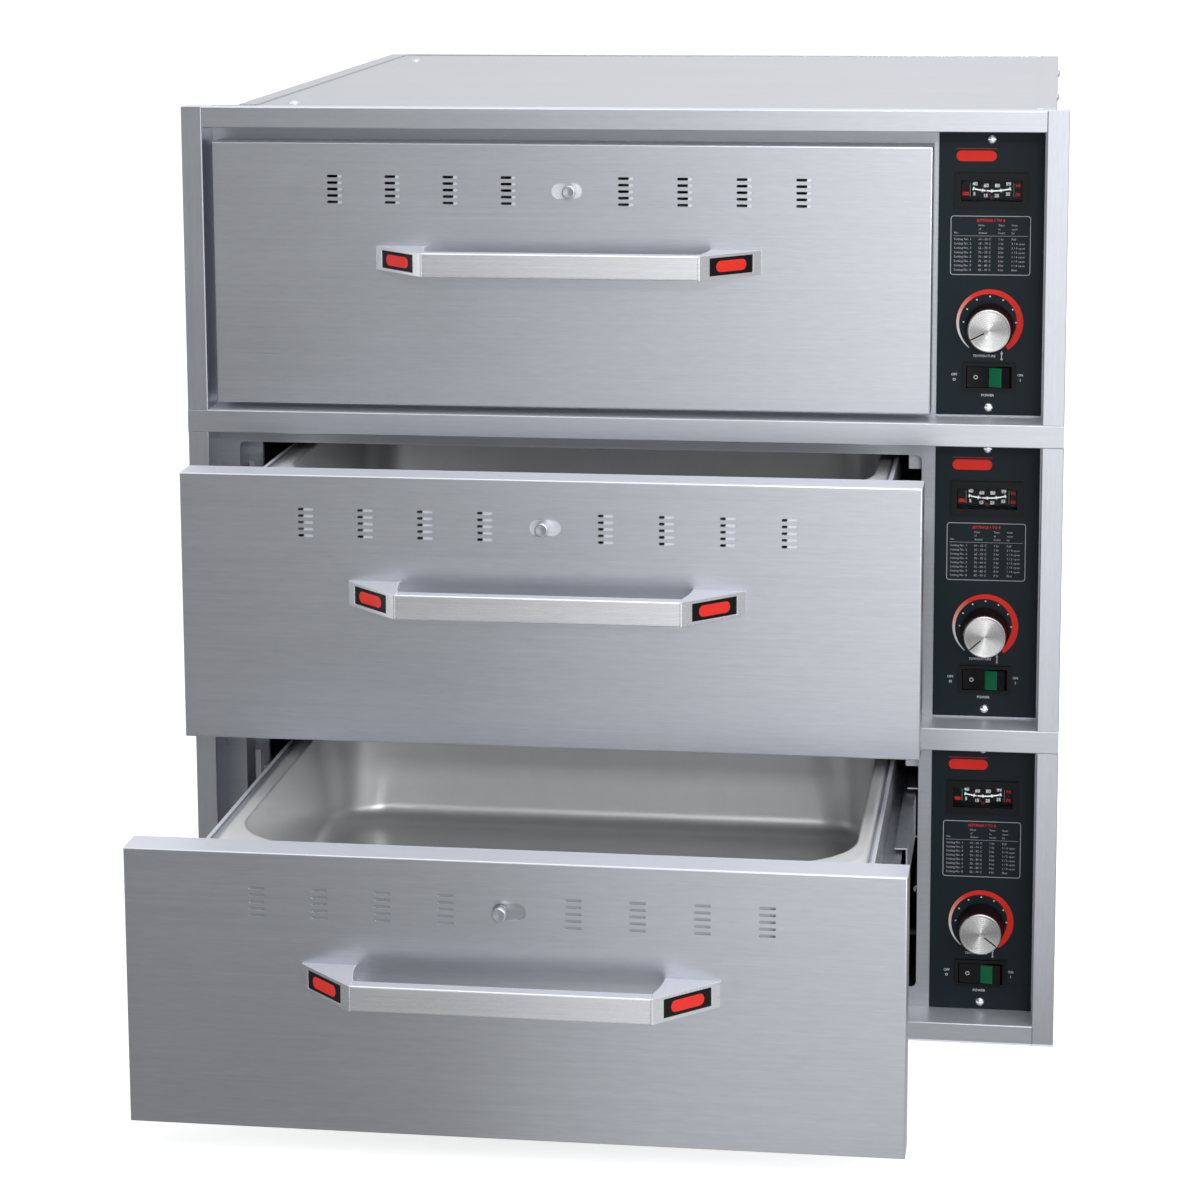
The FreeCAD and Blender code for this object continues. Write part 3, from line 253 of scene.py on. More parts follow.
def moulded(name, colour, roughness, grain=0.02, coat=0.0, gloss=0.5, glow=0.0):
    # Moulded or painted: one colour that drifts a little, and a fine orange-peel skin.
    # glow is painted light: it makes the ink that lies behind glass glow a little, though no lamp is behind
    # it.
    tree = newFinish(name)
    drift = tree.noise([perMetre["drift"]] * 3, 3.0)
    peel = tree.noise([perMetre["peel"]] * 3, 2.0)
    tone = tree.blend(drift, [part * 0.88 for part in colour], [min(part * 1.1, 1) for part in colour])
    return tree.surface(Base_Color=tone, Roughness=roughness + (drift - 0.5) * 0.08, Coat_Weight=coat,
                        Specular_IOR_Level=gloss, Emission_Color=tone, Emission_Strength=glow,
                        Normal=tree.bump(peel, grain * mm))


def glassWool(name):
    tree = newFinish(name)
    fibre = tree.noise((90, 400, 400), 5.0, 0.7)
    tone = tree.blend(fibre, (0.55, 0.42, 0.16), (0.80, 0.68, 0.38))
    return tree.surface(Base_Color=tone, Roughness=0.9, Normal=tree.bump(fibre, 1.5 * mm))


def heatedSheath(name):
    # A tube that has been hot: dark oxide with straw and blue patches.
    tree = newFinish(name)
    patch = tree.noise([perMetre["heatPatch"]] * 3, 3.0)
    stops = [(0.3, (0.045, 0.05, 0.06)), (0.5, (0.10, 0.085, 0.07)), (0.7, (0.05, 0.06, 0.09))]
    return tree.surface(Base_Color=tree.ramp(patch, stops), Roughness=0.45 + patch * 0.15, Metallic=0.9)


def clearGlass(name):
    tree = newFinish(name)
    clear = tree.node("BsdfTransparent", {}, {"Color": (0.93, 0.95, 0.95)})
    gloss = tree.node("BsdfPrincipled", {}, {"Base Color": (0.02, 0.02, 0.02), "Roughness": 0.06})
    facing = tree.node("LayerWeight", {}, {"Blend": 0.12}, "Facing")
    mixed = tree.node("MixShader", {}, {0: facing * 0.5 + 0.04, 1: clear, 2: gloss})
    tree.node("OutputMaterial", {}, {"Surface": mixed})
    return tree.owner


ink = {"white": (0.84, 0.84, 0.83), "red": (0.86, 0.028, 0.016), "grey": (0.46, 0.47, 0.48)}
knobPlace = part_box("dial_knob_upper")
knobCentre = (knobPlace[0] + knobPlace[1]) / 2
pitch = knobCentre.z - (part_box("dial_knob_centre")[0].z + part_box("dial_knob_centre")[1].z) / 2

finishes = {
    "brushed_steel": brushedSteel("brushed steel", "x"),
    "sheet_steel": brushedSteel("sheet steel", "x", 0.58, 0.36, paintedTopWeight=0),
    # painted shade: the liner's near-black tone stands in for the unlit cavities
    "liner_steel": satinSteel("liner steel", 0.12, 0.5, plainGrey),
    "pan_steel": satinSteel("pan steel", 0.76, 0.35, plainGrey, 0.58),
    "zinc_steel": zincSteel("zinc steel"),
    "nickel_plate": plainMetal("nickel plate", 0.62, 0.16),
    "spun_aluminium": spunMetal("spun aluminium", 0.66, 0.24, (knobCentre.x, knobCentre.z, pitch)),
    "element_sheath": heatedSheath("element sheath"),
    "black_paint": moulded("black paint", (0.0060, 0.0140, 0.0200), 0.42, gloss=0.18),
    "black_plastic": moulded("black plastic", (0.005, 0.006, 0.007), 0.36, 0.03, gloss=0.18),
    "gloss_black": moulded("gloss black", (0.004, 0.004, 0.005), 0.2, 0.004, gloss=0.2),
    "red_plastic": moulded("red enamel", ink["red"], 0.3, 0.004, 0.15, gloss=0.25),
    "green_lens": moulded("green lens", (0.003, 0.13, 0.055), 0.16, 0.004, gloss=0.22),
    "gauge_glass": clearGlass("gauge glass"),
    "panel_print": moulded("white print", ink["white"], 0.55, 0.004),
    "glass_wool": glassWool("glass wool"),
}
uprightSteel = brushedSteel("upright brushed steel", "z")
handleSteel = brushedSteel("handle steel", "x", 0.92, 0.27, depth=0.6)
frameSteel = brushedSteel("frame steel", "x", 0.50, 0.38)
# the pan flange gets more painted top light than the trim
flangeSteel = brushedSteel("flange steel", "x", 0.70, 0.36, plainGrey, paintedTopWeight=0.55)
# painted shade: the face plate is darker than the trim's steel, standing in for the shade in the reveal
# beside the stiles
paintedShadePlate = brushedSteel("plate steel", "x", 0.44, 0.38)
# painted light and shade: the vent sliders are one steel; the lighter copy stands in for light through the
# slots in the upper bays, the darker copy for the shade on the lower one
paintedLitSlider = brushedSteel("slider steel", "x", 0.82, 0.42)
paintedShadeSlider = brushedSteel("shut slider steel", "x", 0.42, 0.42)
brightPlate = plainMetal("bright plate", 0.88, 0.22)
needleRed = moulded("needle red", (0.22, 0.012, 0.012), 0.4, 0.004)
redPrint = moulded("red print", ink["red"], 0.5, 0.004, gloss=0.15)
# painted light: the gauge's white and red inks glow, though the gauge is not lit from within
paintedGlowWhite = moulded("gauge white", (0.9, 0.92, 0.95), 0.5, 0.004, gloss=0.15, glow=0.38)
paintedGlowRed = moulded("gauge red", ink["red"], 0.5, 0.004, gloss=0.15, glow=0.18)
greyPrint = moulded("grey print", ink["grey"], 0.55, 0.004)
print("finishes made:", len(finishes), "and the frame's own")


# The frame's own pieces: their finish, and a small round on each sharp edge

edgeRound = {               # the round's width on each kind of piece
    "trim_rails": 0.35, "trim_stiles": 0.35, "face_plate": 0.3, "cabinet_top": 0.4, "cabinet_left_side": 0.4,
    "cabinet_right_side": 0.4, "cabinet_back": 0.4, "cabinet_base": 0.4, "control_panels": 0.35,
    "gauge_cases": 0.5, "rocker_cases": 0.5, "fixed_slides": 0.3, "cable_gland": 0.8, "screws": 0.2,
    "drawer_front": 0.35, "drawer_frame": 0.45, "drawer_backing": 0.3, "handle_bar": 0.4,
    "handle_brackets": 0.45, "drawer_slides": 0.3, "middle_slides": 0.3, "vent_slider": 0.25,
    "rocker": 0.5, "cavity_liner": 0.3,
}
softening = {"weld": 0.002 * mm, "flatWithin": 0.3, "sharperThan": 35.0, "rounds": 2}


def softenEdges(piece, width):
    # Weld joins the loose triangles, Decimate makes each flat one face, and Bevel rounds what is sharper
    # than the angle.
    weld = piece.modifiers.new("weld", "WELD")
    weld.merge_threshold = softening["weld"]
    flat = piece.modifiers.new("flats", "DECIMATE")
    flat.decimate_type = "DISSOLVE"
    flat.angle_limit = math.radians(softening["flatWithin"])
    bevel = piece.modifiers.new("round", "BEVEL")
    bevel.width = width * mm
    bevel.segments = softening["rounds"]
    bevel.limit_method = "ANGLE"
    bevel.angle_limit = math.radians(softening["sharperThan"])
    bevel.use_clamp_overlap = True
    even = piece.modifiers.new("normals", "WEIGHTED_NORMAL")
    even.keep_sharp = False


ownFinish = {
    "trim_stiles": uprightSteel, "handle_bar": handleSteel, "handle_brackets": handleSteel,
    "gauge_needle": needleRed, "drawer_frame": frameSteel, "face_plate": paintedShadePlate,
    "vent_slider": paintedLitSlider, "vent_slider_lower": paintedShadeSlider, "screws": brightPlate,
}


def slotOf(piece):                              # the name of a CAD piece's own material slot
    return piece.data.materials[0].name.split(".")[0]


def dressFrame():
    for name, piece in nodes.items():
        kind = name.rsplit("_", 1)[0] if name.endswith(bays) else name
        finish = ownFinish.get(name) or ownFinish.get(kind) or finishes[slotOf(piece)]
        for slot in piece.material_slots:
            slot.link = "OBJECT"
            slot.material = finish
        if kind in edgeRound:
            softenEdges(piece, edgeRound[kind])


dressFrame()
print("frame pieces finished")


# Meshes from grids

def gridPatch(points, closedAcross=False):
    # points has shape (along, across, 3); each cell of the grid becomes one face.
    count, width = points.shape[:2]
    index = np.arange(count * width).reshape(count, width)
    if closedAcross:
        index = np.hstack([index, index[:, :1]])
    corners = (index[:-1, :-1], index[:-1, 1:], index[1:, 1:], index[1:, :-1])
    return points.reshape(-1, 3), np.stack(corners, -1).reshape(-1, 4).tolist()


def towards(patch, direction):
    # Turns the faces over where their summed area points away from the direction.
    points, faces = patch
    total = np.zeros(3)
    for count in {len(face) for face in faces}:
        corners = points[np.array([face for face in faces if len(face) == count])]
        total += np.cross(corners, np.roll(corners, -1, 1)).sum((0, 1))
    return (points, [face[::-1] for face in faces]) if total @ np.array(direction) < 0 else patch


def outwards(patch):
    # Turns the faces of a closed shape over where it holds less than nothing.
    points, faces = patch
    middle, volume = points.mean(0), 0.0
    for count in {len(face) for face in faces}:
        corners = points[np.array([face for face in faces if len(face) == count])] - middle
        area = np.cross(corners, np.roll(corners, -1, 1)).sum(1)
        volume += (area * corners.mean(1)).sum()
    return (points, [face[::-1] for face in faces]) if volume < 0 else patch


def joinPatches(patches):
    points, faces, kinds, start = [], [], [], 0
    for (patchPoints, patchFaces), kind in patches:
        points.append(patchPoints)
        faces += [[start + corner for corner in face] for face in patchFaces]
        kinds += [kind] * len(patchFaces)
        start += len(patchPoints)
    return np.vstack(points), faces, kinds


def makePiece(name, patches, body, materials, smooth=True, replaces=()):
    # patches: each a (points, faces) pair and the number of its material
    points, faces, kinds = joinPatches(patches)
    mesh = bpy.data.meshes.new(name)
    mesh.from_pydata(points.tolist(), [], faces)
    for material in materials:
        mesh.materials.append(material)
    mesh.polygons.foreach_set("material_index", kinds)
    mesh.polygons.foreach_set("use_smooth", [smooth] * len(faces))
    mesh.update()
    piece = bpy.data.objects.new(name, mesh)
    bpy.context.scene.collection.objects.link(piece)
    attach(piece, body)
    if replaces:
        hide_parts(*replaces)
    return piece


def thicken(piece, thickness, offset=1.0, even=False):
    solid = piece.modifiers.new("thickness", "SOLIDIFY")
    solid.thickness = thickness
    solid.offset = offset
    solid.use_even_offset = even
    return piece


def lathe(profile, centre, steps=96):
    # Turns a profile of (radius, y) points about the y axis through centre; rows run along the profile.
    angle = np.linspace(0, 2 * np.pi, steps, endpoint=False)
    radius, depth = np.asarray(profile, float).T
    x = centre[0] + radius[:, None] * np.cos(angle)
    z = centre[2] + radius[:, None] * np.sin(angle)
    y = np.broadcast_to(depth[:, None], x.shape)
    points, faces = gridPatch(np.stack([x, y, z], -1), closedAcross=True)
    last = len(profile) - 1
    faces.append([last * steps + i for i in range(steps)])
    faces.append([i for i in range(steps)][::-1])
    return outwards((points, faces))


def arc(centre, radius, start, end, steps):
    # Points on a circle from start to end, in degrees.
    angle = np.radians(np.linspace(start, end, steps))
    return [(centre[0] + radius * math.cos(a), centre[1] + radius * math.sin(a)) for a in angle]


def cornerTurns(x0, x1, y0, y1, corner, radius, steps):
    # A quarter circle round each corner of a rectangle; their centres lie corner in from its sides.
    centres = ((x1 - corner, y1 - corner), (x0 + corner, y1 - corner),
               (x0 + corner, y0 + corner), (x1 - corner, y0 + corner))
    return np.array([arc(centre, radius, 90 * turn, 90 * turn + 90, steps)
                     for turn, centre in enumerate(centres)])


def fluteRound(points, centre, count, depth, where, power=1):
    # Draws a turned shape in at each flute: by depth, times a raised cosine of the angle to that power.
    middle = np.array([centre.x, centre.z])
    offset = points[:, [0, 2]] - middle
    turn = np.arctan2(offset[:, 1], offset[:, 0])
    flute = depth * (0.5 + 0.5 * np.cos(turn * count)) ** power * where
    points[:, [0, 2]] = middle + offset * (1 - flute / np.linalg.norm(offset, axis=1))[:, None]


# Pans

panShape = {
    "flange": 12.5, "flangeCorner": 15.0, "corner": 75.0, "footCorner": 42.0, "floorRound": 19.0,
    "lipRound": 2.2, "lipSteps": 7, "lipStart": 0.9, "floorSteps": 14,
    "draft": 8.0, "depth": 96.0, "wall": 1.0, "cornerSteps": 20, "sideSteps": 10,
    "flangeDrop": 0.3,      # what lies less than this below the rim is flange
}


def roundedRing(x0, x1, y0, y1, inset, corner, height):
    # A rectangle with round corners, drawn in by inset. Every ring has as many points, so rings join.
    x0, x1, y0, y1 = x0 + inset, x1 - inset, y0 + inset, y1 - inset
    turns = cornerTurns(x0, x1, y0, y1, corner, corner, panShape["cornerSteps"])
    share = np.linspace(0, 1, panShape["sideSteps"] + 2)[1:-1, None]
    ends, starts = turns[:, -1][:, None], np.roll(turns[:, 0], -1, 0)[:, None]
    sideRuns = ends * (1 - share) + starts * share
    flat = np.concatenate([turns, sideRuns], 1).reshape(-1, 2)
    return np.column_stack([flat, np.full(len(flat), height)])


def panProfile():
    # The pan's inside as (inset, drop): the rim, over the lip, down the leaning wall and round to the floor.
    shape = panShape
    lean = math.degrees(math.atan2(shape["draft"], shape["depth"]))
    lip, curve = shape["lipRound"], shape["floorRound"]
    profile = [(0.0, 0.0), (shape["flange"] * 0.5, 0.0)]
    start = (-lip * shape["lipStart"], -lip)
    profile += [(shape["flange"] + x, y) for x, y in arc(start, lip, 90, lean, shape["lipSteps"])]
    floorX = shape["flange"] + shape["draft"]
    centre = (floorX + curve * math.tan(math.radians(45 - lean / 2)), -shape["depth"] + curve)
    return profile + arc(centre, curve, 180 + lean, 270, shape["floorSteps"])


def panPiece(bay):
    # The corner's radius grows across the flange, shrinks down the wall and shrinks again round to the floor.
    low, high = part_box(f"pan_{bay}")
    shape = panShape
    flange, corner = shape["flange"], shape["corner"]
    rings, onFlange = [], 0
    for inset, drop in panProfile():
        fall = -drop / shape["depth"]
        share = min(inset / flange, 1.0)
        radius = shape["flangeCorner"] + (corner - shape["flangeCorner"]) * share
        if inset > flange:
            radius = corner + (shape["footCorner"] - corner) * fall - (inset - flange - shape["draft"] * fall)
        onFlange += drop > -shape["flangeDrop"]
        rings.append(roundedRing(low.x, high.x, low.y, high.y, inset * mm, radius * mm, high.z + drop * mm))
    points, faces = gridPatch(np.array(rings), closedAcross=True)
    count = len(rings[0])
    faces.append([len(points) - count + i for i in range(count)])
    inside = towards((points, faces), (0, 0, 1))
    piece = makePiece(f"deepPan.{bay}", [(inside, 0)], f"drawer_{bay}",
                      [finishes["pan_steel"], flangeSteel], replaces=[f"pan_{bay}"])
    kinds = np.arange(len(faces)) < count * (onFlange - 1)
    piece.data.polygons.foreach_set("material_index", kinds.astype(np.int32))
    return thicken(piece, shape["wall"] * mm, -1.0, True)


for bay in bays:
    panPiece(bay)
print("pans made")


# Knobs

knobShape = {
    "face": 16.6, "cap": 18.4, "skirt": 20.6, "shaft": 3.0, "depth": 23.0, "edge": 1.2,
    "ringPitch": 0.55, "ringSlope": 0.30, "ringStart": 0.6, "ringSink": 0.05,
    "capEnd": 3.4, "collar": 4.4,                                           # back from the front
    "flareFrom": 7.0, "fluteEnd": 5.0, "flareTo": 4.6, "skirtFrom": 3.6,    # forward from the back
    "neckShare": 0.985, "flareShare": 1.03, "skirtShare": 0.97,
    "flutes": 30, "fluteDepth": 0.35, "fluteSteps": 8,
    "pointerStart": 4.5, "pointerEnd": 17.4, "pointerWidth": 1.1, "pointerLift": 0.07, "pointerSink": 0.5,
}
knobAngles = (207.0, 222.0, 323.0)              # where each pointer stands, counter-clockwise from the right


def knobPiece(bay, angle):
    # A turned face whose depth is a sine of the radius, a fluted cap that flares to a skirt, and a pointer.
    low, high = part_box(f"dial_knob_{bay}")
    centre = (low + high) / 2
    shape = knobShape
    front, back = low.y, low.y + shape["depth"] * mm
    pitchOfRings = shape["ringPitch"] * mm
    radius = np.arange(shape["ringStart"] * mm, shape["face"] * mm, pitchOfRings / 4)
    wave = np.sin(radius * 2 * np.pi / pitchOfRings) * shape["ringSlope"] * pitchOfRings / (2 * np.pi)
    cap, skirt, edge = shape["cap"] * mm, shape["skirt"] * mm, shape["edge"] * mm
    face = list(zip(radius, front + shape["ringSink"] * mm + wave)) + [(shape["face"] * mm, front)]
    face += arc((cap - edge, front + edge), edge, -90, 0, 6) + [(cap, front + shape["capEnd"] * mm)]
    body = [(cap * shape["neckShare"], front + shape["capEnd"] * mm), (cap, front + shape["collar"] * mm),
            (cap * shape["flareShare"], back - shape["flareFrom"] * mm),
            (skirt * shape["skirtShare"], back - shape["flareTo"] * mm),
            (skirt, back - shape["skirtFrom"] * mm), (skirt, back)]
    points, faces = lathe(body, centre, shape["flutes"] * shape["fluteSteps"])
    onCap = points[:, 1] < back - shape["fluteEnd"] * mm
    fluteRound(points, centre, shape["flutes"], shape["fluteDepth"] * mm, onCap, 2)
    shaft = [(shape["shaft"] * mm, back), (shape["shaft"] * mm, high.y)]
    way = math.radians(angle)
    along, across = np.array([math.cos(way), math.sin(way)]), np.array([-math.sin(way), math.cos(way)])
    run = np.array([shape["pointerStart"], shape["pointerEnd"]]) * mm
    side = np.array([-0.5, 0.5]) * shape["pointerWidth"] * mm
    flat = run[:, None, None] * along + side[None, :, None] * across
    pointer = [np.stack([centre.x + flat[..., 0], np.full((2, 2), y), centre.z + flat[..., 1]], -1)
               for y in (front - shape["pointerLift"] * mm, front + shape["pointerSink"] * mm)]
    sides = [[0, 1, 3, 2], [4, 6, 7, 5], [0, 2, 6, 4], [1, 5, 7, 3], [0, 4, 5, 1], [2, 3, 7, 6]]
    slab = np.array(pointer).reshape(-1, 3), sides
    patches = [(lathe(face, centre), 0), ((points, faces), 1), (lathe(shaft, centre, 32), 2)]
    patches.append((outwards(slab), 1))
    return makePiece(f"spunKnob.{bay}", patches, f"dial_{bay}",
                     [finishes["spun_aluminium"], finishes["black_plastic"], finishes["nickel_plate"]],
                     replaces=[f"dial_knob_{bay}"])


for bay, angle in zip(bays, knobAngles):
    knobPiece(bay, angle)
print("knobs made")


# Flat prints: each is a patch of ink that faces forwards

def flatStrip(x0, x1, z0, z1, y):
    return np.array([(x0, y, z0), (x1, y, z0), (x1, y, z1), (x0, y, z1)]), [[0, 1, 2, 3]]


def flatDisc(x, z, radius, y, steps=16):
    ring = np.array(arc((x, z), radius, 0, 360 * (steps - 1) / steps, steps))
    return np.column_stack([ring[:, 0], np.full(steps, y), ring[:, 1]]), [list(range(steps))]


def flatBand(x, z, inner, outer, start, end, y, steps):
    # A band round x and z from one angle to the other, between two radii that may be arrays along it.
    angle = np.radians(np.linspace(start, end, steps))
    radii = np.stack([inner + 0 * angle, outer + 0 * angle])
    px, pz = x + radii * np.cos(angle), z + radii * np.sin(angle)
    return towards(gridPatch(np.stack([px, np.full(px.shape, y), pz], -1)), (0, -1, 0))


def flatFrame(x0, x1, z0, z1, corner, width, y):
    # The outline of a rectangle with round corners.
    rings = [cornerTurns(x0, x1, z0, z1, corner, corner - inset, 7).reshape(-1, 2) for inset in (0, width)]
    flat = np.array(rings)
    points = np.stack([flat[..., 0], np.full(flat.shape[:2], y), flat[..., 1]], -1)
    return towards(gridPatch(points, closedAcross=True), (0, -1, 0))


def flatWords(text, size, x, z, y, align="LEFT", detail=2, weight=0.0):
    # Blender's own typeface as a flat mesh. x is the text's left end or middle, z the middle of its height.
    curve = bpy.data.curves.new("words", "FONT")
    curve.body, curve.size, curve.align_x, curve.align_y = text, size, align, "CENTER"
    curve.resolution_u, curve.offset = detail, weight
    holder = bpy.data.objects.new("words", curve)
    mesh = bpy.data.meshes.new_from_object(holder)
    points = np.empty(len(mesh.vertices) * 3)
    mesh.vertices.foreach_get("co", points)
    points = points.reshape(-1, 3)
    faces = [list(polygon.vertices) for polygon in mesh.polygons]
    bpy.data.objects.remove(holder)
    bpy.data.curves.remove(curve)
    bpy.data.meshes.remove(mesh)
    placed = np.column_stack([points[:, 0] + x, np.full(len(points), y), points[:, 1] + z])
    return towards((placed, faces), (0, -1, 0))


def lowered(patches, drop):                     # the same patches further down
    return [((points - np.array([0, 0, drop]), faces), kind) for (points, faces), kind in patches]


# The panels' prints

inkThickness = 0.06
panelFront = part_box("control_panels")[0].y
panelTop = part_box("control_panels")[1].z
panelMiddle = knobCentre.x
rockerCentre = (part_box("rocker_upper")[0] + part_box("rocker_upper")[1]) / 2

chartShape = {
    "drop": 72.1, "width": 67.8, "height": 50.8, "corner": 2.4, "line": 0.55, "offMiddle": 0.3,
    "textSize": 2.75, "titleSize": 1.15, "titleDrop": 4.0, "titleWeight": 0.06,
    "headingSize": 0.92, "headingDrop": 8.1, "headingPitch": 3.25,
    "ruleDrop": 17.2, "ruleFrom": 2.4, "ruleTo": 65.4, "ruleHalf": 0.12,
    "rowDrop": 20.1, "rowPitch": 3.76,
    "columns": (3.0, 23.6, 40.4, 51.6),     # each column's left end, from the chart's left side
}
chartHeadings = (("", "", "No."), ("Heat", "of", "drawer"), ("Time", "in", "hours"), ("Vent", "open", "by"))
chartRows = (
    ("60 - 65 C", "1 hr", "Full"), ("65 - 70 C", "1 hr", "3 / 4 open"),
    ("65 - 75 C", "2 hr", "3 / 4 open"), ("70 - 75 C", "2 hr", "1 / 2 open"),
    ("70 - 80 C", "3 hr", "1 / 2 open"), ("75 - 80 C", "3 hr", "1 / 4 open"),
    ("80 - 85 C", "4 hr", "1 / 4 open"), ("85 - 90 C", "4 hr", "Shut"),
)


def chart(y):
    # A framed table: a red title, up to three heading lines, a rule, and eight rows in four columns.
    shape = chartShape
    width, size = shape["width"] * mm, shape["textSize"] * mm
    left = panelMiddle - width / 2 - shape["offMiddle"] * mm
    top = panelTop - shape["drop"] * mm
    grey = [flatFrame(left, left + width, top - shape["height"] * mm, top, shape["corner"] * mm,
                      shape["line"] * mm, y)]
    title = flatWords("SETTINGS 1 TO 8", size * shape["titleSize"], left + width / 2,
                      top - shape["titleDrop"] * mm, y, "CENTER", 1, shape["titleWeight"] * mm)
    for column, words in zip(shape["columns"], chartHeadings):
        for line, word in enumerate(words):
            z = top - (shape["headingDrop"] + shape["headingPitch"] * line) * mm
            if word:
                grey.append(flatWords(word, size * shape["headingSize"], left + column * mm, z, y, detail=1))
    rule, half = top - shape["ruleDrop"] * mm, shape["ruleHalf"] * mm
    grey.append(flatStrip(left + shape["ruleFrom"] * mm, left + shape["ruleTo"] * mm,
                          rule - half, rule + half, y))
    for row, words in enumerate(chartRows):
        z = top - (shape["rowDrop"] + shape["rowPitch"] * row) * mm
        for column, word in zip(shape["columns"], (f"Setting No. {row + 1}", *words)):
            grey.append(flatWords(word, size, left + column * mm, z, y, detail=1))
    return [(patch, 2) for patch in grey] + [(title, 1)]


switchShape = {             # places are right of and above the switch's middle
    "textSize": 3.0,
    "words": (("TEMPERATURE", 0.98, -4.2, 18.2), ("OFF", 1.0, -29.6, 1.9),
              ("ON", 1.0, 26.6, 1.9), ("POWER", 1.05, -1.0, -15.9)),
    "offMark": (-29.6, -2.4), "offInner": 0.75, "offOuter": 1.15,
    "bars": ((26.4, 26.8, -3.6, -1.2), (10.2, 10.8, 15.2, 22.6)),   # left, right, foot and top
    "discs": ((10.5, 20.6, 0.95), (10.5, 15.6, 0.85)),              # the last number is the radius
}


def switchMarks(y):
    # The words round the dial and the switch, a ring for off, a bar for on and a small thermometer.
    shape, x, z = switchShape, panelMiddle, rockerCentre.z
    size = shape["textSize"] * mm
    offX, offZ = (part * mm for part in shape["offMark"])
    marks = [flatWords(word, size * share, x + right * mm, z + up * mm, y, "CENTER")
             for word, share, right, up in shape["words"]]
    marks.append(flatBand(x + offX, z + offZ, shape["offInner"] * mm, shape["offOuter"] * mm, 0, 360, y, 24))
    marks += [flatStrip(x + left * mm, x + right * mm, z + foot * mm, z + top * mm, y)
              for left, right, foot, top in shape["bars"]]
    marks += [flatDisc(x + right * mm, z + up * mm, radius * mm, y) for right, up, radius in shape["discs"]]
    return [(patch, 0) for patch in marks]


barShape = {"length": 34.0, "height": 9.0, "left": 13.0, "drop": 21.0, "lineGap": 1.6, "line": 0.3}


def panelBar(y):
    # A plain round-ended red bar at the panel's top, with a thin red line above it.
    shape = barShape
    half, thick = shape["length"] / 2 * mm, shape["height"] / 2 * mm
    x, z = panelMiddle - shape["left"] * mm, panelTop - shape["drop"] * mm
    ends = arc((x + half - thick, z), thick, -90, 90, 13) + arc((x - half + thick, z), thick, 90, 270, 13)
    bar = np.array([(across, y, up) for across, up in ends]), [list(range(len(ends)))]
    foot = z + thick + shape["lineGap"] * mm
    return [(bar, 1), (flatStrip(x - half, x + half, foot, foot + shape["line"] * mm, y), 1)]


ringShape = {
    "outer": 28.4, "thin": 0.5, "swell": 5.6, "power": 0.65, "start": 232.0, "end": -56.0, "lift": 4.3,
    "steps": 140, "dots": 8, "firstDot": 180.0, "lastDot": -30.0, "dotRing": 22.3, "dotRadius": 0.7,
}


def dialDots(y):
    shape = ringShape
    turns = np.radians(np.linspace(shape["firstDot"], shape["lastDot"], shape["dots"]))
    middle = (panelMiddle, knobCentre.z + shape["lift"] * mm)
    reach, radius = shape["dotRing"] * mm, shape["dotRadius"] * mm
    return [(flatDisc(middle[0] + reach * math.cos(turn), middle[1] + reach * math.sin(turn), radius, y), 0)
            for turn in turns]


def dialRing(number, bay):
    # The ring's width grows as a power of the way along it, and its colour turns from white to red.
    shape = ringShape
    share = np.linspace(0, 1, shape["steps"])
    outer = shape["outer"] * mm
    inner = outer - (shape["thin"] + shape["swell"] * share ** shape["power"]) * mm
    z = knobCentre.z + shape["lift"] * mm - pitch * number
    band = flatBand(panelMiddle, z, inner, outer, shape["start"], shape["end"], panelFront, shape["steps"])
    piece = makePiece(f"dialRing.{bay}", [(band, 0)], "cabinet", [ringPrint], smooth=False)
    warmth = piece.data.attributes.new("warmth", "FLOAT", "POINT")
    warmth.data.foreach_set("value", np.tile(share, 2))
    return thicken(piece, inkThickness * mm, 1.0)


def ringPrintFinish():
    tree = newFinish("dial ring print")
    warmth = tree.node("Attribute", {"attribute_name": "warmth"}, {}, "Fac")
    stops = [(0.14, ink["white"]), (0.27, (0.84, 0.30, 0.20)), (0.38, ink["red"])]
    return tree.surface(Base_Color=tree.ramp(warmth, stops), Roughness=0.5, Specular_IOR_Level=0.15)


ringPrint = ringPrintFinish()
panelInk = chart(panelFront) + switchMarks(panelFront) + dialDots(panelFront) + panelBar(panelFront)
for number, bay in enumerate(bays):
    piece = makePiece(f"panelPrint.{bay}", lowered(panelInk, pitch * number), "cabinet",
                      [finishes["panel_print"], redPrint, greyPrint], smooth=False)
    thicken(piece, inkThickness * mm, 1.0)
    dialRing(number, bay)
print("panel prints made")


# Gauge faces and windows

gaugeShape = {
    "width": 51.6, "height": 18.0, "drop": 15.1, "faceDepth": 7.85, "inkGap": 0.1, "inkThickness": 0.08,
    "scaleHalf": 15.5, "scaleSag": 1.9, "scaleLine": 0.4,
    "ticks": 17, "longTick": 1.45, "longEvery": 4, "shortTick": 0.65, "tickTurn": 0.55,
    # the numbers above and below the scale, with their size, side and shift to the left
    "numbers": ((("40", "60", "80", "99"), 4.3, 1, 0.0), (("5", "15", "25", "35"), 3.87, -1, 0.4)),
    "firstNumber": -0.92, "numberPitch": 0.61,      # in half scales from the middle
    "numberRise": 4.3, "numberWeight": 0.13,
    "sideLine": 18.4, "sideWidth": 0.35, "sideHalf": 5.6,
    "block": (-24.6, -19.3, -5.0, -1.9),            # left, right, foot and top
    "endWords": (("HI", 3.6), ("00", -4.2)), "endRight": 22.2, "endSize": 4.1, "endWeight": 0.1,
    "windowLift": 0.9, "crown": 0.7, "glass": 0.8,
}
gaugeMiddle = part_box("gauge_cases")[1].z - gaugeShape["drop"] * mm


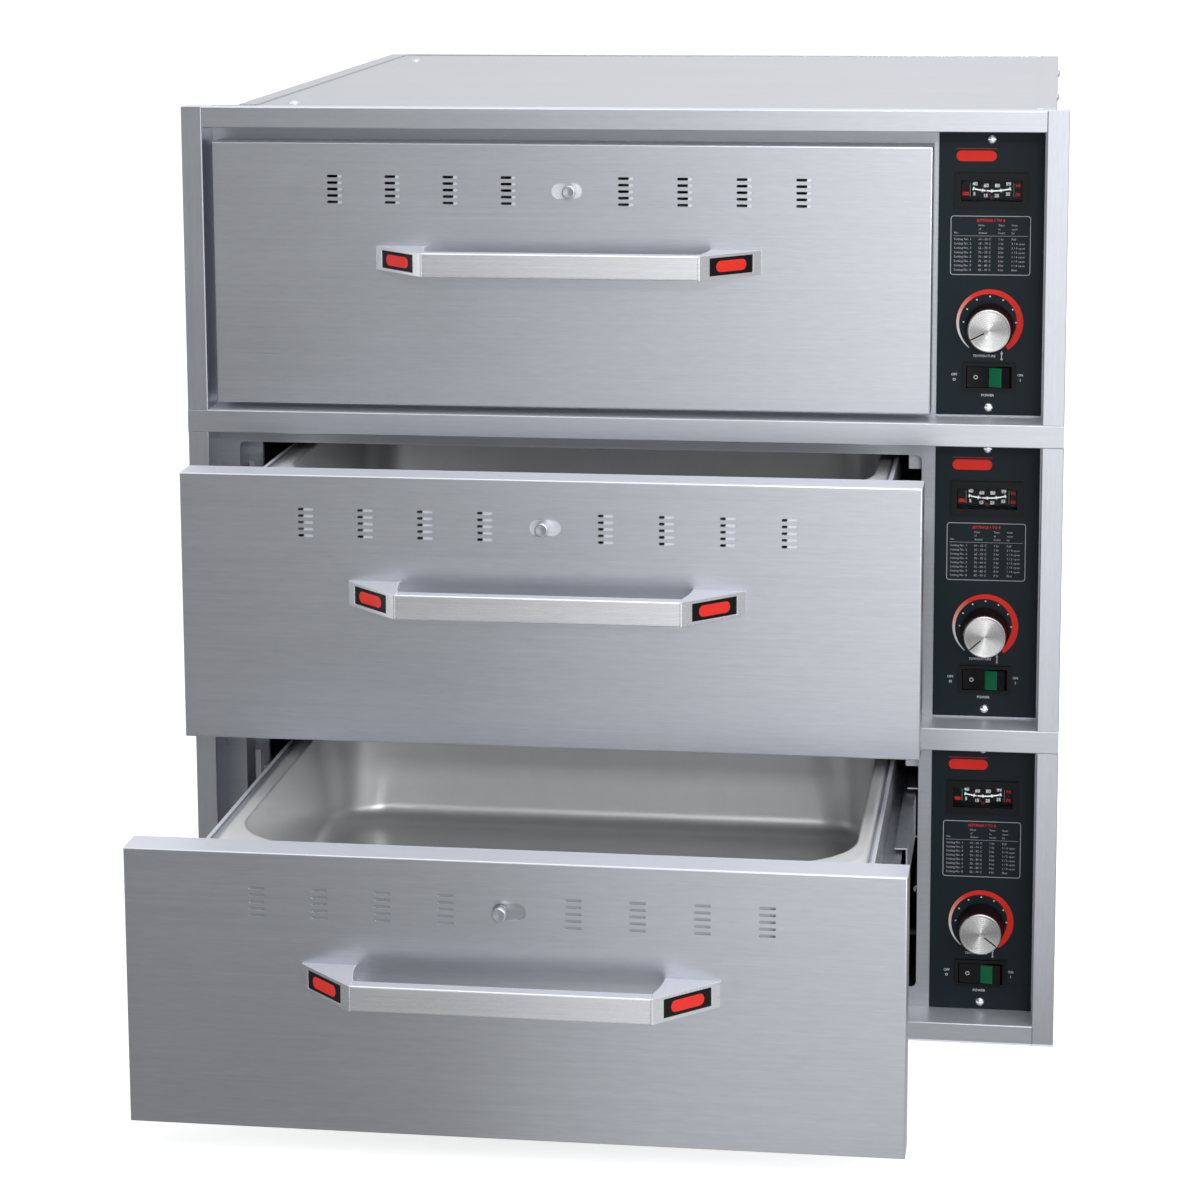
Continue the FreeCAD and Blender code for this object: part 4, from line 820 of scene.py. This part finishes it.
def gaugeScale(y):
    # An arc through three points, half across and sag deep, with ticks across it and numbers on both sides.
    shape = gaugeShape
    half, sag, x = shape["scaleHalf"], shape["scaleSag"], panelMiddle
    radius = (half ** 2 + sag ** 2) / (2 * sag)
    top = gaugeMiddle + (radius - sag / 2) * mm
    reach = math.degrees(math.asin(half / radius))

    def band(halfWidth, start, end, steps):
        return flatBand(x, top, (radius - halfWidth) * mm, (radius + halfWidth) * mm, start, end, y, steps)

    marks = [band(shape["scaleLine"], 270 - reach, 270 + reach, 30)]
    for step, turn in enumerate(np.linspace(270 - reach, 270 + reach, shape["ticks"])):
        long = shape["shortTick"] if step % shape["longEvery"] else shape["longTick"]
        marks.append(band(long, turn - shape["tickTurn"], turn + shape["tickTurn"], 2))
    for words, size, side, left in shape["numbers"]:
        for step, word in enumerate(words):
            away = half * (shape["firstNumber"] + shape["numberPitch"] * step)
            up = sag * (away / half) ** 2 - sag / 2 + side * shape["numberRise"]
            marks.append(flatWords(word, size * mm, x + (away - left) * mm, gaugeMiddle + up * mm, y,
                                   "CENTER", weight=shape["numberWeight"] * mm))
    return marks


def gaugeFacePatches():
    # A black plate behind the white scale, with a thin grey line and red marks at each end of it.
    shape = gaugeShape
    x, z = panelMiddle, gaugeMiddle
    y = panelFront + shape["faceDepth"] * mm
    mark = y - shape["inkGap"] * mm
    halfWidth, halfHeight = shape["width"] / 2 * mm, shape["height"] / 2 * mm
    plate = flatStrip(x - halfWidth, x + halfWidth, z - halfHeight, z + halfHeight, y)
    line = shape["sideHalf"] * mm
    pale = [flatStrip(x + left * mm, x + (left + shape["sideWidth"]) * mm, z - line, z + line, mark)
            for left in (-shape["sideLine"], shape["sideLine"])]
    left, right, foot, head = (part * mm for part in shape["block"])
    red = [flatStrip(x + left, x + right, z + foot, z + head, mark)]
    red += [flatWords(word, shape["endSize"] * mm, x + shape["endRight"] * mm, z + rise * mm, mark, "CENTER",
                      weight=shape["endWeight"] * mm) for word, rise in shape["endWords"]]
    inks = ([plate], gaugeScale(mark), red, pale)
    return [(patch, kind) for kind, patches in enumerate(inks) for patch in patches]


def gaugeWindow(bay, drop):
    # A clear window that swells a little in the middle: its front is a shallow crown over a flat back.
    shape = gaugeShape
    u, v = np.meshgrid(np.linspace(-1, 1, 25), np.linspace(-1, 1, 13))
    crown = (1 - u ** 4) * (1 - v ** 4)
    y = panelFront - (shape["windowLift"] + shape["crown"] * crown) * mm
    points = np.stack([panelMiddle + u * shape["width"] / 2 * mm, y,
                       gaugeMiddle - drop + v * shape["height"] / 2 * mm], -1)
    piece = makePiece(f"gaugeWindow.{bay}", [(towards(gridPatch(points), (0, -1, 0)), 0)], "cabinet",
                      [finishes["gauge_glass"]])
    return thicken(piece, shape["glass"] * mm, -1.0)


gaugeInk = gaugeFacePatches()
for number, bay in enumerate(bays):
    face = makePiece(f"gaugeFace.{bay}", lowered(gaugeInk, pitch * number), "cabinet",
                     [finishes["gloss_black"], paintedGlowWhite, paintedGlowRed, greyPrint], smooth=False)
    thicken(face, gaugeShape["inkThickness"] * mm, 1.0)
    gaugeWindow(bay, pitch * number)
print("gauges made")


# Rocker lenses and marks

rockerShape = {
    "half": 18.2, "height": 17.6, "valley": 1.6, "rim": 2.0, "pivot": 1.5, "tilt": -7.0,
    "lensFrom": 0.5, "lensTo": 11.4, "lensMargin": 0.35, "lensRise": 0.5, "lensGap": 0.02,
    "markAt": -10.8, "markInner": 1.25, "markOuter": 1.75, "markLift": 0.04, "wall": 0.12,
}


def onRocker(along, up, rise, drop):
    # A point on the rocker's face, in mm from its middle, lifted off it and tipped about its pins.
    shape = rockerShape
    depth = -shape["rim"] - shape["valley"] * np.abs(along) / shape["half"] - rise - shape["pivot"]
    tilt = math.radians(shape["tilt"])
    x = along * math.cos(tilt) - depth * math.sin(tilt)
    y = along * math.sin(tilt) + depth * math.cos(tilt)
    z = rockerCentre.z - drop + up * mm + 0 * x
    return np.stack([panelMiddle + x * mm, panelFront + (y + shape["pivot"]) * mm, z], -1)


def rockerTrim(bay, drop):
    # The lens is a pillow: its rise falls off steeply at the edges. The mark beside it is a flat ring.
    shape = rockerShape
    u, v = np.meshgrid(np.linspace(-1, 1, 33), np.linspace(-1, 1, 33))
    middle, half = (shape["lensFrom"] + shape["lensTo"]) / 2, (shape["lensTo"] - shape["lensFrom"]) / 2
    pillow = shape["lensRise"] * ((1 - u ** 10) * (1 - v ** 10)) ** 0.6
    up = v * (shape["height"] / 2 - shape["lensMargin"])
    lens = gridPatch(onRocker(middle + u * half, up, pillow + shape["lensGap"], drop))
    turn, radius = np.meshgrid(np.linspace(0, 2 * np.pi, 33), (shape["markInner"], shape["markOuter"]))
    along, up = shape["markAt"] + radius * np.cos(turn), radius * np.sin(turn)
    ring = gridPatch(onRocker(along, up, shape["markLift"], drop))
    lens, ring = towards(lens, (0, -1, 0)), towards(ring, (0, -1, 0))
    piece = makePiece(f"rockerLens.{bay}", [(lens, 0), (ring, 1)], f"switch_{bay}",
                      [finishes["green_lens"], finishes["panel_print"]])
    return thicken(piece, shape["wall"] * mm, -1.0)


for number, bay in enumerate(bays):
    rockerTrim(bay, pitch * number)
print("rocker lenses made")


# Slider ends

endShape = {"lap": 4.0, "reach": 6.0, "gap": 0.05, "curl": 0.6, "wall": 0.8}


def sliderEnd(bay):
    # A strip lapped behind the slider's right end, which curls back as the fourth power of the way along it.
    low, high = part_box(f"vent_slider_{bay}")
    shape = endShape
    u, v = np.meshgrid(np.linspace(0, 1, 9), np.linspace(0, 1, 9))
    x = high.x + (u * (shape["lap"] + shape["reach"]) - shape["lap"]) * mm
    y = high.y + (shape["gap"] + shape["curl"] * u ** 4) * mm
    patch = towards(gridPatch(np.stack([x, y, low.z + v * (high.z - low.z)], -1)), (0, -1, 0))
    slider = nodes[f"vent_slider_{bay}"]
    piece = makePiece(f"sliderEnd.{bay}", [(patch, 0)], f"vent_{bay}",
                      [slider.material_slots[0].material])
    return thicken(piece, shape["wall"] * mm, -1.0)


for bay in bays:
    sliderEnd(bay)
print("slider ends made")


# Thumb screws

thumbShape = {              # radii, and depths back from the head's front
    "head": 5.9, "length": 9.0, "chamfer": 0.9, "teeth": 28, "toothDepth": 0.28, "toothSteps": 6,
    "dish": 0.3, "dishDepth": 0.25, "dome": 0.45, "domeDepth": 0.1,
    "boss": 5.6, "bossStart": 0.98, "bossEdge": 0.3, "neck": 2.0, "plate": 1.5, "shank": 2.0,
    "nutCore": 0.4, "nutFace": 3.9, "nutWide": 4.1, "nutBack": 3.8, "nutGap": 1.2, "nutEdge": 0.3,
}


def thumbScrew(bay):
    # A knurled head on a smooth boss: the head's radius waves with the angle between its two chamfers.
    low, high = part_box(f"vent_screw_{bay}")
    centre = (low + high) / 2
    shape = thumbShape
    head, length, chamfer, boss = shape["head"], shape["length"], shape["chamfer"], shape["boss"]
    plate = length + shape["neck"] + shape["plate"]
    nutFront, end = plate + shape["nutGap"], (high.y - low.y) / mm

    def turnedPart(profile, steps):
        return lathe(np.array(profile) * mm + (0.0, low.y), centre, steps)

    profile = [(shape["dish"], shape["dishDepth"]), (head * shape["dome"], shape["domeDepth"])]
    profile += [(head - chamfer * 1.5, 0.0)] + arc((head - chamfer * 1.2, chamfer), chamfer, -90, -20, 5)
    profile += [(head, chamfer * 1.3), (head, length - chamfer * 0.8), (head - chamfer, length)]
    profile += [(boss * shape["bossStart"], length), (boss, length + shape["bossEdge"]), (boss, plate)]
    points, faces = turnedPart(profile, shape["teeth"] * shape["toothSteps"])
    depth = (points[:, 1] - low.y) / mm
    knurled = (depth > chamfer * 1.2) & (depth < length - chamfer * 0.7)
    fluteRound(points, centre, shape["teeth"], shape["toothDepth"] * mm, knurled)
    shank = turnedPart([(shape["shank"], plate), (shape["shank"], end)], 24)
    wide, edge = shape["nutWide"], shape["nutEdge"]
    nut = turnedPart([(shape["nutCore"], nutFront), (shape["nutFace"], nutFront), (wide, nutFront + edge),
                      (wide, end - edge), (shape["nutBack"], end)], 6)
    return makePiece(f"thumbScrew.{bay}", [((points, faces), 0), (shank, 0), (nut, 0)], f"vent_{bay}",
                     [finishes["nickel_plate"]], replaces=[f"vent_screw_{bay}"])


for bay in bays:
    thumbScrew(bay)
print("thumb screws made")


# Handle inlays

inlayShape = {
    "lip": 2.5, "nose": 1.5, "bracket": 49.3, "inset": 9.0, "wall": 0.3,
    "length": 47.0, "height": 15.2, "margin": 0.15, "plateSink": 0.45, "plateCrown": 0.1,
    "barLength": 33.0, "barHeight": 9.6, "barSink": 0.2, "barCrown": 0.15,
}


def handleInlay(bay, side):
    # A black plate in the bracket's sunk place with a round-ended red bar on it, both slightly crowned.
    low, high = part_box(f"handle_brackets_{bay}")
    shape = inlayShape
    outer = low.x if side < 0 else high.x
    tip = np.array([outer, high.y - shape["lip"] * mm])
    nose = np.array([outer - side * (shape["bracket"] - shape["nose"]) * mm, low.y])
    along = (nose - tip) / np.linalg.norm(nose - tip)
    outward = np.array([along[1], -along[0]]) * (1 if side < 0 else -1)
    middle = tip + along * (shape["inset"] + shape["length"] / 2) * mm
    z = (low.z + high.z) / 2

    def crowned(length, height, sink, crown, roundEnds):
        # A grid in mm, which narrows to half circles where its ends are round.
        u, v = np.meshgrid(np.linspace(-1, 1, 41), np.linspace(-1, 1, 17))
        across, up = u * length / 2, v * height / 2
        if roundEnds:
            end = np.clip(np.abs(across) - (length - height) / 2, 0, None) / (height / 2)
            up = up * np.sqrt(np.clip(1 - end ** 2, 0.0004, None))
        rise = crown * (1 - u ** 6) * (1 - v ** 4) - sink
        flat = middle + (across[..., None] * along + rise[..., None] * outward) * mm
        points = np.stack([flat[..., 0], flat[..., 1], z + up * mm], -1)
        return towards(gridPatch(points), (outward[0], outward[1], 0))

    margin = 2 * shape["margin"]
    plate = crowned(shape["length"] - margin, shape["height"] - margin, shape["plateSink"],
                    shape["plateCrown"], False)
    bar = crowned(shape["barLength"], shape["barHeight"], shape["barSink"], shape["barCrown"], True)
    sideName = "left" if side < 0 else "right"
    piece = makePiece(f"handleInlay.{sideName}.{bay}", [(plate, 0), (bar, 1)], f"drawer_{bay}",
                      [finishes["gloss_black"], finishes["red_plastic"]])
    return thicken(piece, shape["wall"] * mm, -1.0)


for bay in bays:
    for side in (-1, 1):
        handleInlay(bay, side)
print("handle inlays made")


# Stage: floor, studio bowl, lamps, camera

camera = {
    "place": (0.37672, -3.19888, 1.04368), "turn": (80.558, 0.365, 8.460),
    "lens": 101.44, "sensor": 36.0, "shift": (0.0333, -0.1667), "clip": (0.05, 200.0),
}
lamps = {
    "overhead": {"place": (0.3, -0.9, 3.2), "target": (0, -0.2, 0.4), "size": (2.4, 2.4), "power": 23.0},
    "frontRight": {"place": (2.6, -2.6, 1.9), "target": (0, -0.3, 0.4), "size": (1.6, 1.8), "power": 22.0},
    "front": {"place": (2.5, -12.0, 4.45), "target": (0, -0.4, 0.2), "size": (2.0, 0.7), "power": 230.0},
}
studio = {
    "floorReach": 40.0, "floorColour": 0.88, "floorGlow": 0.64, "fillStrength": 0.62,
    # the bowl's brightness by direction: degrees from straight in front, to the right
    "angles": (-180, -160, -125, -99, -75, -50, -25, -15, -8, -2, 5, 15, 30, 55, 85, 120, 180),
    "levels": (1.0, 0.85, 0.95, 1.5, 0.95, 0.30, 0.27, 0.31, 0.46,
               1.12, 1.55, 1.75, 1.45, 0.8, 0.42, 0.8, 1.0),
    # how much of what is above the dark level is left, by distance from the middle
    "reaches": (0.0, 0.4, 1.06, 2.2, 4.6), "shares": (0.10, 0.16, 0.34, 0.62, 1.0), "dark": 0.32,
    "bowlRings": (0.01, 0.4, 0.75, 1.06, 1.5, 2.2, 3.0), "bowlRadius": 5.0, "bowlHeight": 4.0, "bend": 1.2,
    "bowlLift": 0.002,
}


def stageMesh(name, points, faces, material):
    mesh = bpy.data.meshes.new(name)
    mesh.from_pydata(points.tolist(), [], faces)
    mesh.materials.append(material)
    thing = bpy.data.objects.new(name, mesh)
    bpy.context.scene.collection.objects.link(thing)
    return thing


def backdropRays(tree):                         # 1 where a ray looks straight, by reflection or through glass
    seen = tree.node("LightPath", {}, {}, "Is Camera Ray")
    glossy = Signal(tree, seen.socket.node.outputs["Is Glossy Ray"])
    through = Signal(tree, seen.socket.node.outputs["Is Transmission Ray"])
    return tree.node("Math", {"operation": "MINIMUM"}, {0: seen + glossy + through, 1: 1.0})


def makeFloor():
    tree = newFinish("floor")
    diffuse = tree.node("BsdfDiffuse", {}, {"Color": shade(studio["floorColour"])})
    none = tree.node("Emission", {}, {"Color": (0, 0, 0)})
    glow = tree.node("Emission", {}, {"Color": (1, 1, 1), "Strength": studio["floorGlow"]})
    extra = tree.node("MixShader", {}, {0: backdropRays(tree), 1: none, 2: glow})
    both = tree.node("AddShader", {}, {0: diffuse, 1: extra})
    tree.node("OutputMaterial", {}, {"Surface": both})
    reach = studio["floorReach"]
    points = np.array([(-reach, -reach, 0), (reach, -reach, 0), (reach, reach, 0), (-reach, reach, 0)])
    return stageMesh("floor", points, [[0, 1, 2, 3]], tree.owner)


def makeBowl():
    # A disc that curves up into a wall, turned round the object; only reflections see it.
    shape = studio
    radius, bend, lift = shape["bowlRadius"], shape["bend"], shape["bowlLift"]
    profile = [(reach, lift) for reach in (*shape["bowlRings"], radius - bend)]
    profile += arc((radius - bend, bend + lift), bend, -81, 0, 8) + [(radius, shape["bowlHeight"])]
    profile = np.array(profile)
    angle = np.radians(np.linspace(-180, 180, 145))
    x, y = profile[:, :1] * np.sin(angle), -profile[:, :1] * np.cos(angle)
    z = np.broadcast_to(profile[:, 1:], x.shape)
    points, faces = gridPatch(np.stack([x, y, z], -1))
    bright = np.interp(np.degrees(angle), shape["angles"], shape["levels"])
    share = np.interp(profile[:, :1], shape["reaches"], shape["shares"])
    level = (shape["dark"] + (bright - shape["dark"]) * share).ravel()
    tree = newFinish("studio bowl")
    glow = tree.node("Attribute", {"attribute_name": "glow"}, {}, "Color")
    tree.node("OutputMaterial", {}, {"Surface": tree.node("Emission", {}, {"Color": glow, "Strength": 1.0})})
    bowl = stageMesh("studioBowl", points, faces, tree.owner)
    colours = np.column_stack([level, level, level, np.ones(len(level))])
    bowl.data.color_attributes.new("glow", "FLOAT_COLOR", "POINT").data.foreach_set("color", colours.ravel())
    bowl.data.polygons.foreach_set("use_smooth", [True] * len(faces))
    for ray in ("camera", "diffuse", "transmission", "volume_scatter", "shadow"):
        setattr(bowl, "visible_" + ray, False)
    return bowl


def makeWorld():
    world = bpy.data.worlds.new("studio")
    bpy.context.scene.world = world
    tree = Tree(world)
    fill = studio["fillStrength"]
    level = backdropRays(tree) * (1.0 - fill) + fill
    back = tree.node("Background", {}, {"Color": (1, 1, 1), "Strength": level})
    tree.node("OutputWorld", {}, {"Surface": back})


def makeLamp(name, place, target, size, power):
    lamp = bpy.data.lights.new(name, "AREA")
    lamp.shape, lamp.size, lamp.size_y, lamp.energy = "RECTANGLE", size[0], size[1], power
    thing = bpy.data.objects.new(name, lamp)
    thing.location = place
    direction = Vector(target) - Vector(place)
    thing.rotation_euler = direction.to_track_quat("-Z", "Y").to_euler()
    bpy.context.scene.collection.objects.link(thing)


def makeCamera():
    data = bpy.data.cameras.new("photo")
    data.lens, data.sensor_width, data.sensor_fit = camera["lens"], camera["sensor"], "AUTO"
    data.shift_x, data.shift_y = camera["shift"]
    data.clip_start, data.clip_end = camera["clip"]
    thing = bpy.data.objects.new("photo", data)
    thing.location = camera["place"]
    thing.rotation_euler = [math.radians(part) for part in camera["turn"]]
    bpy.context.scene.collection.objects.link(thing)
    bpy.context.scene.camera = thing


makeFloor()
makeBowl()
makeWorld()
for name, lamp in lamps.items():
    makeLamp(name, **lamp)
makeCamera()
bpy.context.scene.view_settings.view_transform = "Standard"
print("stage set")
